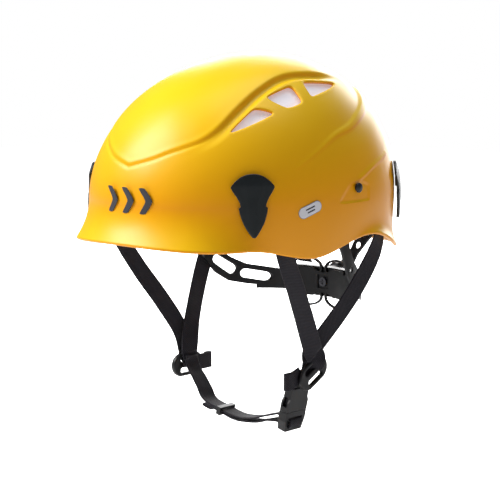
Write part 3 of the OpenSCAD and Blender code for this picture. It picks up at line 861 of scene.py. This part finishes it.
ROUNDING = {"buckle_socket": 1.0, "buckle_plug": 1.0, "buckle_prong_front": 0.6,
            "buckle_prong_rear": 0.6, "strap_keeper": 0.9, "adjuster_housing": 0.9,
            "adjuster_knob": 0.9, "strap_anchor_front_left": 1.2, "strap_anchor_front_right": 1.2,
            "strap_anchor_rear_left": 1.2, "strap_anchor_rear_right": 1.2}


def finish_cad_nodes():
    """Every carried-over CAD node takes its slot's material and slightly broken edges."""
    slots = {part["node"]: part["material_slot"] for part in frame["record"]["subparts"]}
    for name, ob in frame["nodes"].items():
        if ob.hide_render:
            continue
        ob.data.materials.clear()
        ob.data.materials.append(FINISH[slots[name]])
        edge = ob.modifiers.new("edges", "BEVEL")
        edge.width = ROUNDING.get(name, 0.4) * MM
        edge.segments = 3 if name in ROUNDING else 2
        edge.limit_method = "ANGLE"
        edge.angle_limit = math.radians(40)


# ---------------------------------------------------------------- camera, light and floor
CAMERA_AZ, CAMERA_EL, CAMERA_FAR = 43.0, 5.67, 1300.0
LENS = 113.07
WORLD_LIGHT = 0.17
FLOOR_BOUNCE = 0.2
BUCKLE_TRAVEL = 26.0


def make_camera():
    a, e = math.radians(CAMERA_AZ), math.radians(CAMERA_EL)
    back = Vector((math.sin(a) * math.cos(e), -math.cos(a) * math.cos(e), math.sin(e)))
    middle = Vector((0, 0, EQUATOR * MM))
    data = bpy.data.cameras.new("camera")
    data.lens = LENS
    data.sensor_width = 36
    data.shift_x = 5.4 / 500
    data.shift_y = -58.2 / 500
    cam = bpy.data.objects.new("camera", data)
    cam.location = middle + back * CAMERA_FAR * MM
    cam.rotation_mode = "QUATERNION"
    cam.rotation_quaternion = (-back).to_track_quat("-Z", "Y")
    scene.collection.objects.link(cam)
    scene.camera = cam


def area_light(name, at, aim, size, power, colour=(1, 1, 1)):
    data = bpy.data.lights.new(name, "AREA")
    data.shape = "RECTANGLE"
    data.size, data.size_y = size
    data.energy = power
    data.color = colour
    ob = bpy.data.objects.new(name, data)
    ob.location = at
    ob.rotation_mode = "QUATERNION"
    ob.rotation_quaternion = (Vector(aim) - Vector(at)).to_track_quat("-Z", "Y")
    scene.collection.objects.link(ob)


def make_stage():
    """White floor, low enough for the buckle to part above it, and a white world. Both look
    brighter than the light they throw."""
    floor_z = cad_low[2] / MM - BUCKLE_TRAVEL - 0.4
    verts, faces = [], []
    n = 12
    for i in range(n + 1):
        for j in range(n + 1):
            verts.append((-3000 + 6000 * i / n, -3000 + 6000 * j / n, floor_z))
    for i in range(n):
        for j in range(n):
            p = i * (n + 1) + j
            faces.append([p, p + n + 1, p + n + 2, p + 1])
    floor = mesh_object("floor", verts, faces)
    m, tree, b = shader("floor_pale", (0.93, 0.93, 0.93), 0.16)
    b.inputs["Specular IOR Level"].default_value = 0.35
    b.inputs["Emission Color"].default_value = (1, 1, 1, 1)
    v = object_space(tree)
    far = node(tree, "ShaderNodeVectorMath", operation="LENGTH")
    tree.links.new(v, far.inputs[0])
    path = node(tree, "ShaderNodeLightPath")
    strength = node(tree, "ShaderNodeMath", operation="MULTIPLY")
    glow = spread(tree, far.outputs["Value"], 0.3, 1.1, 0.42, 1.0)
    seen = spread(tree, path.outputs["Is Camera Ray"], 0.0, 1.0, FLOOR_BOUNCE, 1.0)
    tree.links.new(glow, strength.inputs[0])
    tree.links.new(seen, strength.inputs[1])
    tree.links.new(strength.outputs[0], b.inputs["Emission Strength"])
    tree.links.new(vary(tree, v, 2.0, (0.92, 0.92, 0.92), (0.95, 0.95, 0.95)), b.inputs["Base Color"])
    floor.data.materials.append(m)
    world = bpy.data.worlds.new("studio")
    scene.world = world
    world.use_nodes = True
    bg = world.node_tree.nodes["Background"]
    path = node(world.node_tree, "ShaderNodeLightPath")
    seen = spread(world.node_tree, path.outputs["Is Camera Ray"], 0.0, 1.0, WORLD_LIGHT, 1.0)
    world.node_tree.links.new(seen, bg.inputs["Strength"])
    bg.inputs["Color"].default_value = (1, 1, 1, 1)
    scene.view_settings.view_transform = "Standard"
    scene.view_settings.look = "None"
    area_light("key", (-1.0, -1.05, 1.35), (0, 0, 0.05), (1.1, 1.1), 50)
    area_light("top", (0.1, 0.3, 1.9), (0, 0, 0.05), (1.4, 1.4), 14)
    area_light("rear", (-0.9, 1.7, 0.55), (0, 0, 0.05), (1.8, 1.3), 42)


# ---------------------------------------------------------------- the pieces
def make_liner():
    """Foam liner with its moulded channels on the inner face."""
    around, rows = 288, 72
    phi = np.arange(around) * 360 / around
    t = 0.97 * np.arange(1, rows + 1) / rows
    gphi, gt = np.meshgrid(phi, t)
    outer = shell_at(gphi, gt, WALL + 3.8)
    inner = shell_at(gphi, gt, WALL + 3.8 + LINER_T)
    n = shell_normal(gphi, gt)
    lane = np.abs(np.mod(gphi + 15, 30) - 15) * np.pi / 180 * 100 * np.sin(gt * np.pi / 2)
    deep = 3.0 * (1 - smooth(3.0, 5.0, lane)) * smooth(0.3, 0.36, gt) * (1 - smooth(0.86, 0.92, gt))
    ring = 2.0 * (1 - smooth(0.018, 0.032, np.abs(gt - 0.62)))
    inner = inner + n * np.maximum(deep, ring)[..., None]
    top_out = shell_at(0.0, 0.0, WALL + 3.8)[None]
    top_in = shell_at(0.0, 0.0, WALL + 3.8 + LINER_T)[None]
    verts = np.vstack([top_out, outer.reshape(-1, 3), top_in, inner.reshape(-1, 3)])
    half = 1 + around * rows
    faces = grid_face(around, rows)
    faces += [[v + half for v in f] for f in grid_face(around, rows, True)]
    last = 1 + (rows - 1) * around
    for j in range(around):
        k = (j + 1) % around
        faces.append([last + j, half + last + j, half + last + k, last + k])
    ob = sharpen(mesh_object("liner", verts, faces), 50)
    place(ob, "helmet", FOAM, ["foam_liner"])


SHUTTER_FROM, SHUTTER_OVER = 36, 83


def make_shutter(side, name, body):
    """Ribbed plate behind the vents of one side."""
    n_phi, n_t = 156, 60
    i, j = np.meshgrid(np.arange(n_phi + 1) / n_phi, np.arange(n_t + 1) / n_t, indexing="ij")
    phi = SHUTTER_FROM + SHUTTER_OVER * i
    t = 0.36 + (0.38 + 0.02 * (1 - i)) * j - 0.03 * i
    ribs = 0.16 * np.abs(np.sin(i * math.pi * 52))
    verts = []
    for base, lift in ((WALL + 1.2, 0.16 - ribs), (WALL + 2.5, 0 * ribs)):
        p = shell_at(phi, t, base)
        verts.append((p - shell_normal(phi, t) * lift[..., None]).reshape(-1, 3))
    m = n_t + 1
    count = (n_phi + 1) * m
    faces = []
    for a in range(n_phi):
        for b in range(n_t):
            q = a * m + b
            faces.append([q, q + 1, q + m + 1, q + m])
            faces.append([count + q, count + q + m, count + q + m + 1, count + q + 1])
    rim = [(a * m + e, (a + 1) * m + e) for a in range(n_phi) for e in (0, n_t)]
    rim += [(e + b, e + b + 1) for b in range(n_t) for e in (0, n_phi * m)]
    faces += [[q, p, count + p, count + q] for q, p in rim]
    verts = np.vstack(verts) * [side, 1, 1]
    ob = sharpen(tidy(mesh_object(name + "_visual", verts, faces)), 50)
    place(ob, body, SHUTTER, [name])


FRONT_CLIP, REAR_CLIP = 51.5, 132


def clip_outline():
    """Fan on top, notched waist and pointed tongue, with its corners just rounded."""
    right = [(0, 13.8), (4.6, 13.3), (9, 11.6), (13.4, 8.4), (17.3, 4), (15.4, 0.4), (12.6, -3.6),
             (10.6, -7.4), (9.8, -9.9), (9.8, -10.9), (11.3, -11.9), (10.5, -16), (9.2, -20.5),
             (7.4, -24.8), (5.2, -28.8), (2.6, -32.6), (0.9, -34.4), (0, -34.5)]
    full = right + [(-x, y) for x, y in right[-2:0:-1]]
    return chaikin(full, 1, 0.16)


def make_clip(phi, side, name, tilt, bow):
    """Headlamp clip, standing off the wall at its tongue, with a raised spine."""
    base = on_wall(phi, 46, 118.0, 1.0 + 1.3, -tilt, side)

    def bend(co):
        q = co.copy()
        face = smooth(0.2, 1.5, co[:, 2])
        spine = 1 - smooth(2.0, 6.5, np.abs(co[:, 0]) - 0.12 * (co[:, 1] + 20))
        q[:, 2] += face * (0.55 * spine - 0.5 * smooth(8, 16, np.abs(co[:, 0])) - 0.25)
        q[:, 2] += bow * (1 - ((co[:, 1] + 12) / 24) ** 2) - 1.4 * smooth(4, 15, co[:, 1])
        return base(q)
    body = plate(name + "_visual", [clip_outline()], 2.6, 0.6, bend, 1.6)
    hook = plate("hook", [oval(12, 10, cy=-3)], 1.5, 0.3,
                 on_wall(phi, 46, 118.0, 1.0 + 0.65, -tilt, side), 4)
    ob = join(name + "_visual", [body, hook])
    sharpen(ob, 34)
    place(ob, "helmet", CLIP_BLACK, [name])


def make_plug(side, name):
    """Domed plug with a ring round it."""
    turn = []
    for r, x in [(0, 1.9), (1.2, 1.85), (2.2, 1.6), (2.9, 1.2), (3.2, 1.25), (3.6, 1.1),
                 (3.85, 0.7), (3.9, 0.1), (2.9, 0.0), (2.9, -5.2), (4.4, -5.3), (4.4, -6.6), (0, -6.7)]:
        turn.append((r, x))
    n = 40
    verts, faces = [], []
    for r, x in turn:
        for k in range(n):
            a = 2 * math.pi * k / n
            verts.append((side * (HALF_W + x), 11 + r * math.cos(a), 44 + r * math.sin(a)))
    for i in range(len(turn) - 1):
        for k in range(n):
            j = (k + 1) % n
            faces.append([i * n + k, i * n + j, (i + 1) * n + j, (i + 1) * n + k])
    ob = sharpen(tidy(mesh_object(name + "_visual", verts, faces)), 40)
    place(ob, "helmet", CLIP_BLACK, [name])


LABEL_AT = (73, 30.5, 118)


def make_label():
    """Blank sticker with a thin grey border."""
    border = rotated(oval(22, 9, 60), 20)
    field = rotated(oval(21.1, 8.1, 60), 20)
    rim = plate("label_rim", [border], 0.3, 0.05, on_wall(*LABEL_AT, 0.3 + 0.15), 3)
    top = plate("label_field", [field], 0.3, 0.05, on_wall(*LABEL_AT, 0.36 + 0.2), 3)
    place(rim, "helmet", LABEL_EDGE, [])
    place(top, "helmet", LABEL, ["side_label"])
    bars = []
    for dy, wide in ((1.25, 9.0), (-1.25, 7.4)):
        bar = rotated(oval(wide, 1.1, 24, 0.3, dy), 20)
        bars.append(plate("bar", [bar], 0.24, 0.05, on_wall(*LABEL_AT, 0.36 + 0.3), 3))
    place(join("label_bars", bars), "helmet", BADGE)


def make_badge():
    parts = []
    for x in (-17, 0, 17):
        chevron = [(-7, -10), (-1, -10), (6, 0), (-1, 10), (-7, 10), (0, 0)]
        loop = chaikin(np.array(chevron, float), 2, 0.12) + [x, 0]
        parts.append(plate("chevron", [loop], 0.4, 0.08, on_wall(3.5, 38, 95, 1.3, 2), 2))
    place(join("badge", parts), "helmet", BADGE, ["front_badge"])


LABEL_EDGE = moulded("label_grey", (0.2, 0.2, 0.22), (0.26, 0.26, 0.28), (0.4, 0.5))

FRONT_STRAP = [(93.4, -59, 27), (93.7, -58, 14), (94, -55.3, -4), (89, -37, -34), (82, -18, -62),
               (76.6, -2, -88)]
REAR_STRAP = [(91, 66, 26), (91, 63.5, 12), (93, 60.3, -4), (91, 50, -24), (84.5, 32, -52),
              (72.2, 10, -84)]
FRONT_FACE = (0.93, -0.3, 0.25)
REAR_FACE = (0.93, 0.33, 0.2)
HANG = {("front", 1): (0.82, -0.53, 0.22), ("rear", 1): (0.98, -0.02, 0.2),
        ("front", -1): (0.96, -0.1, 0.22)}
SLIDER_L, SLIDER_R = (72, 3, -108), (71, 3, -121)
SLIDER_TURN = {1: 28.0, -1: 0.0}
SLIDER_LONG = 35.0
BUCKLE, BUCKLE_TILT = (62, -3, -118), 14.0
KEEPER, KEEPER_TILT = (-22, 0, -152.7), 13.3


def from_buckle(x, y, z):
    c, s = math.cos(math.radians(BUCKLE_TILT)), math.sin(math.radians(BUCKLE_TILT))
    return (BUCKLE[0] + x * c + z * s, BUCKLE[1] + y, BUCKLE[2] + z * c - x * s)


def mirrored(points, side):
    return np.asarray(points, float) * [side, 1, 1]


def turning(first, middle, last, n):
    """Faces of a strap that twists twice on its way down, as it hangs between its two ends."""
    t = np.linspace(0, 1, n)[:, None]
    early, late = smooth(0.12, 0.42, t), smooth(0.62, 1.0, t)
    face = np.asarray(first, float) * (1 - early) + np.asarray(middle, float) * early
    return face * (1 - late) + np.asarray(last, float) * late


def make_straps():
    for side, word, p in ((1, "left", SLIDER_L), (-1, "right", SLIDER_R)):
        over = [(p[0] + 3.3, p[1], p[2] + 14), (p[0] + 3.2, p[1], p[2] + 9.5),
                (p[0] + 2.0, p[1], p[2] + 6.6), (p[0] - 0.4, p[1], p[2] + 4.2),
                (p[0] - 2.6, p[1], p[2] + 2.2), (p[0] - 3.1, p[1], p[2] - 2.0)]
        under = [(p[0] - 3.2, p[1], p[2] + 15.5), (p[0] - 3.3, p[1], p[2] + 9),
                 (p[0] - 4.3, p[1], p[2] + 4)]
        for which, route, face, foot in (("front", FRONT_STRAP, FRONT_FACE, over),
                                         ("rear", REAR_STRAP, REAR_FACE, under)):
            hang = HANG.get((which, side), face)
            path = route + foot
            n = (len(path) - 1) * 10 + 1
            faces = turning(face, hang, (1, 0, 0.1), n) * [side, 1, 1]
            ob = webbing_piece(f"web_{which}_{word}", mirrored(path, side), faces, 16.6)
            place(ob, "helmet", WEB, [f"strap_{which}_{word}"])


def make_strap_ends():
    """Loose end of the webbing, folded back on itself beside each slider."""
    for side, word, p, ahead, long, drop in ((1, "left", SLIDER_L, -1, 15, 3),
                                             (-1, "right", SLIDER_R, 1, 11, 0)):
        near = p[1] + ahead * (SLIDER_LONG / 2 - 5)
        tip = p[1] + ahead * (SLIDER_LONG / 2 + long)
        route = [(p[0] - 1.9, near, p[2]), (p[0] - 2.2, (near + tip) / 2, p[2] - drop),
                 (p[0] - 2.1, tip - 1.5 * ahead, p[2] - drop), (p[0] - 0.5, tip, p[2] - drop),
                 (p[0] + 1.3, tip - 1.5 * ahead, p[2] - drop),
                 (p[0] + 1.6, (near + tip) / 2 + 2 * ahead, p[2] - drop)]
        fold = mirrored(route, side)
        along = np.gradient(fold, axis=0)
        out = spline(np.cross(along, (0, 0, side * ahead)), 10)
        ob = webbing_piece(f"web_end_{word}", fold, out, 14.0, 1.3)
        place(ob, "helmet", WEB, [f"strap_end_{word}"])


def make_slider(side, p, degrees, name):
    """Moulded oval ring with a crossbar and softly rounded edges."""
    c, s = math.cos(math.radians(degrees)), math.sin(math.radians(degrees))

    def bend(co):
        u, v = co[:, 0], co[:, 1]
        x = co[:, 2] * (1 + 0.12 * smooth(10, 19, np.abs(u)))
        q = np.stack([p[0] + x, p[1] + u * c - v * s, p[2] + u * s + v * c], 1)
        return q * [side, 1, 1]
    slots = [oval(18.4, 4.4, 32, 0, 4.8), oval(18.4, 4.4, 32, 0, -4.8)]
    body = plate(name + "_visual", [oval(SLIDER_LONG, 20, 72)] + slots, 4.2, 1.25, bend, 5, 3)
    place(body, "helmet", BUCKLE_BLACK, [name])


CHIN_TOP = [(-65.6, 3, -113), (-65, 3, -119), (-61.3, 2.8, -125), (-56, 2.5, -130.5),
            (-49, 1.5, -138), (-40, 0, -147), (-22, 0, -151.8), (-4, 0, -155.2), (14, 0, -153.6),
            (24, 0, -150.6), (33.5, -0.5, -147.5)]
CHIN_TAIL = [(-41, 0, -149.6), (-22, 0, -153.9), (-4.6, 0, -157.8), (15, 0, -156.6),
             (24, 0, -154.6), (33.4, -0.5, -151.7)]


def make_chin():
    path = [(66.9, -1, -105), (66.7, -1, -108), (66.3, -1.4, -112), (64.9, -2.2, -115.4),
            (62.9, -2.9, -117.9), from_buckle(0, 0, -2.2), from_buckle(0, 0, -6.4)]
    ob = webbing_piece("web_buckle", path, (1, 0, 0.25))
    place(ob, "helmet", WEB, ["buckle_strap"])
    fold = [(-33, 0, -153.6), (-37, 0, -152.7), (-41.2, 0, -151.6), (-42.4, 0, -150.6),
            (-41.4, 0, -149.7)]
    top = webbing_piece("web_chin", CHIN_TOP, (0.02, 0, 1))
    tail = webbing_piece("web_chin_tail", CHIN_TAIL, (0, 0, 1))
    end = webbing_piece("web_chin_fold", fold, (0.3, 0, -1), thick=1.2)
    stitch = []
    for k in range(7):
        for off in (-4.5, 4.5):
            at = np.array([-39.5 + 0.9 * k, off, -152.9 - 0.21 * k])
            stitch.append((at + [-0.3, 0, 0.07], at + [0.3, 0, -0.07]))
    thread = make_thread("thread_chin", stitch, 0.28)
    loop = [(33.2, -0.5, -147.6), (41, -2, -145.2), (46, -3, -144)]
    loop += [from_buckle(x, 0, z) for x, z in ((-5, -28.9), (4, -28.9), (5.2, -29.6), (5.6, -32),
                                               (5.2, -34.4), (4, -35.1), (-5, -35.1))]
    loop += [(44, -3, -150.2), (33.2, -0.5, -151.8)]
    knot = webbing_piece("web_loop", loop, loop_faces(loop))
    place(knot, "buckle_lower", WEB, ["chin_strap_loop"])
    place(end, "helmet", WEB)
    place(thread, "helmet", THREAD)
    for ob, stands in ((top, "chin_strap"), (tail, "chin_strap_tail")):
        ob.data.materials.append(WEB)
        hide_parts(stands)
        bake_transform(ob)


def loop_faces(route):
    """Faces of a strap that turns in the plane of X and Z, so that its width stays along Y."""
    line = spline(route, 10)
    along = np.gradient(line, axis=0)
    return np.stack([-along[:, 2], np.zeros(len(line)), along[:, 0]], 1)


def make_thread(name, stitches, r):
    """Short rounded stitches between pairs of points."""
    verts, faces = [], []
    for a, b in stitches:
        a, b = np.asarray(a, float), np.asarray(b, float)
        along = (b - a) / np.linalg.norm(b - a)
        side = np.cross(along, [0.1, 0.2, 1.0])
        side /= np.linalg.norm(side)
        up = np.cross(side, along)
        first = len(verts)
        for k, scale in ((-0.3, 0.3), (0.1, 0.9), (0.5, 1.0), (0.9, 0.9), (1.3, 0.3)):
            for j in range(6):
                w = 2 * math.pi * j / 6
                verts.append(a + (b - a) * k + (side * math.cos(w) + up * math.sin(w)) * r * scale)
        for i in range(4):
            for j in range(6):
                k = (j + 1) % 6
                q = first + 6 * i
                faces.append([q + j, q + k, q + 6 + k, q + 6 + j])
        faces.append([first + j for j in range(6)][::-1])
        faces.append([first + 24 + j for j in range(6)])
    return mesh_object(name, verts, faces)


def swell(ob, voxel, cap, pressure=4.0):
    """Blows a closed shape up as padded cloth, no point moving more than cap."""
    made = ob.modifiers.new("remesh", "REMESH")
    made.mode = "VOXEL"
    made.voxel_size = voxel * MM
    bpy.context.view_layer.update()
    dg = bpy.context.evaluated_depsgraph_get()
    me = bpy.data.meshes.new_from_object(ob.evaluated_get(dg))
    ob.modifiers.clear()
    ob.data = me
    start = np.zeros(len(me.vertices) * 3)
    me.vertices.foreach_get("co", start)
    start = start.reshape(-1, 3)
    cloth = ob.modifiers.new("cloth", "CLOTH")
    cloth.settings.use_pressure = True
    cloth.settings.uniform_pressure_force = pressure
    cloth.settings.effector_weights.gravity = 0
    for i in range(1, 21):
        scene.frame_set(i)
    dg = bpy.context.evaluated_depsgraph_get()
    moved = bpy.data.meshes.new_from_object(ob.evaluated_get(dg))
    ob.modifiers.clear()
    ob.data = moved
    scene.frame_set(1)
    now = np.zeros(len(moved.vertices) * 3)
    moved.vertices.foreach_get("co", now)
    step = now.reshape(-1, 3) - start
    far = np.linalg.norm(step, axis=1, keepdims=True)
    step *= np.minimum(1, cap * MM / np.maximum(far, 1e-9))
    moved.vertices.foreach_set("co", (start + step).ravel())
    bm = bmesh.new()
    bm.from_mesh(ob.data)
    bmesh.ops.smooth_vert(bm, verts=bm.verts, factor=0.5)
    bmesh.ops.subdivide_edges(bm, edges=bm.edges, cuts=1, use_grid_fill=True, smooth=0.6)
    bmesh.ops.smooth_vert(bm, verts=bm.verts, factor=0.5)
    for f in bm.faces:
        f.smooth = True
    bm.to_mesh(ob.data)
    bm.free()
    return ob


def curved_pad(name, at, n_u, n_v, shrink):
    """Closed slab over a curved sheet: at(u, v, w) with u and v from -1 to 1, w -1 in and 1 out."""
    u, v = np.meshgrid(np.linspace(-1, 1, n_u), np.linspace(-1, 1, n_v), indexing="ij")
    pinch = (1 - np.abs(u) ** 6 * shrink) * (1 - np.abs(v) ** 4 * shrink)
    verts = [at(u, v, w * pinch).reshape(-1, 3) for w in (-1, 1)]
    count = n_u * n_v
    faces = []
    for i in range(n_u - 1):
        for j in range(n_v - 1):
            q = i * n_v + j
            faces.append([q, q + 1, q + n_v + 1, q + n_v])
            faces.append([count + q, count + q + n_v, count + q + n_v + 1, count + q + 1])
    edge = [i * n_v for i in range(n_u)] + [(n_u - 1) * n_v + j for j in range(1, n_v)]
    edge += [i * n_v + n_v - 1 for i in range(n_u - 2, -1, -1)] + list(range(n_v - 2, 0, -1))
    for a, b in zip(edge, edge[1:] + edge[:1]):
        faces.append([a, b, count + b, count + a])
    ob = mesh_object(name, np.vstack(verts), faces)
    return tidy(ob)


def sew(ob, along, across_at, width, depth):
    """Presses sewn channels into a pad; along gives each point's place in millimetres."""
    me = ob.data
    co = np.zeros(len(me.vertices) * 3)
    me.vertices.foreach_get("co", co)
    co = co.reshape(-1, 3)
    normal = np.zeros(len(me.vertices) * 3)
    me.vertices.foreach_get("normal", normal)
    place_mm = along(co / MM)
    deep = np.zeros(len(co))
    for k in across_at:
        deep = np.maximum(deep, depth * np.exp(-((place_mm - k) / width) ** 2))
    co -= normal.reshape(-1, 3) * deep[:, None] * MM
    me.vertices.foreach_set("co", co.ravel())
    me.update()


def make_pads():
    def brow(u, v, w):
        a = np.radians(270 + 62 * u)
        r = BAND_R - 6.5 + 2.65 + 1.7 * w
        z = 20 + 9.6 * v
        return np.stack([r * np.cos(a), BROW_CY + r * np.sin(a), z], -1)
    pad = swell(curved_pad("pad_brow", brow, 60, 10, 0.5), 2.4, 1.4)

    def arc(co):
        return np.degrees(np.arctan2(co[:, 1] - BROW_CY, co[:, 0])) * 1.32
    sew(pad, arc, [-90 * 1.32 + k for k in (-56, -28, 0, 28, 56)], 1.6, 1.3)
    place(pad, "helmet", PAD, ["brow_pad"])

    def crown(u, v, w):
        a = np.radians(90 + 26.5 * u)
        r = DOME_H - WALL - 3.8 - LINER_T - 8 + 2.6 * w
        return np.stack([r * np.cos(a), 15 + 23 * v, EQUATOR + r * np.sin(a)], -1)
    pad = swell(curved_pad("pad_crown", crown, 34, 20, 0.5), 3.2, 1.6)
    sew(pad, lambda co: co[:, 0], [-20, 0, 20], 1.8, 1.6)
    place(pad, "helmet", PAD, ["crown_pad"])


THREAD = moulded("thread", (0.09, 0.09, 0.1), (0.13, 0.13, 0.14), (0.6, 0.7))


def main():
    place(make_shell(), "helmet", YELLOW, ["shell"])
    make_liner()
    make_shutter(1, "vent_shutter_left", "shutter_left")
    make_shutter(-1, "vent_shutter_right", "shutter_right")
    for side, word in ((1, "left"), (-1, "right")):
        make_clip(FRONT_CLIP, side, f"headlamp_clip_front_{word}", 4.5, 0.0)
        make_clip(REAR_CLIP, side, f"headlamp_clip_rear_{word}", 1.5, 1.6)
        make_plug(side, f"visor_plug_{word}")
    make_label()
    make_badge()
    make_straps()
    make_strap_ends()
    make_slider(1, SLIDER_L, SLIDER_TURN[1], "slider_left")
    make_slider(-1, SLIDER_R, SLIDER_TURN[-1], "slider_right")
    make_chin()
    make_pads()


make_camera()
make_stage()
main()
finish_cad_nodes()
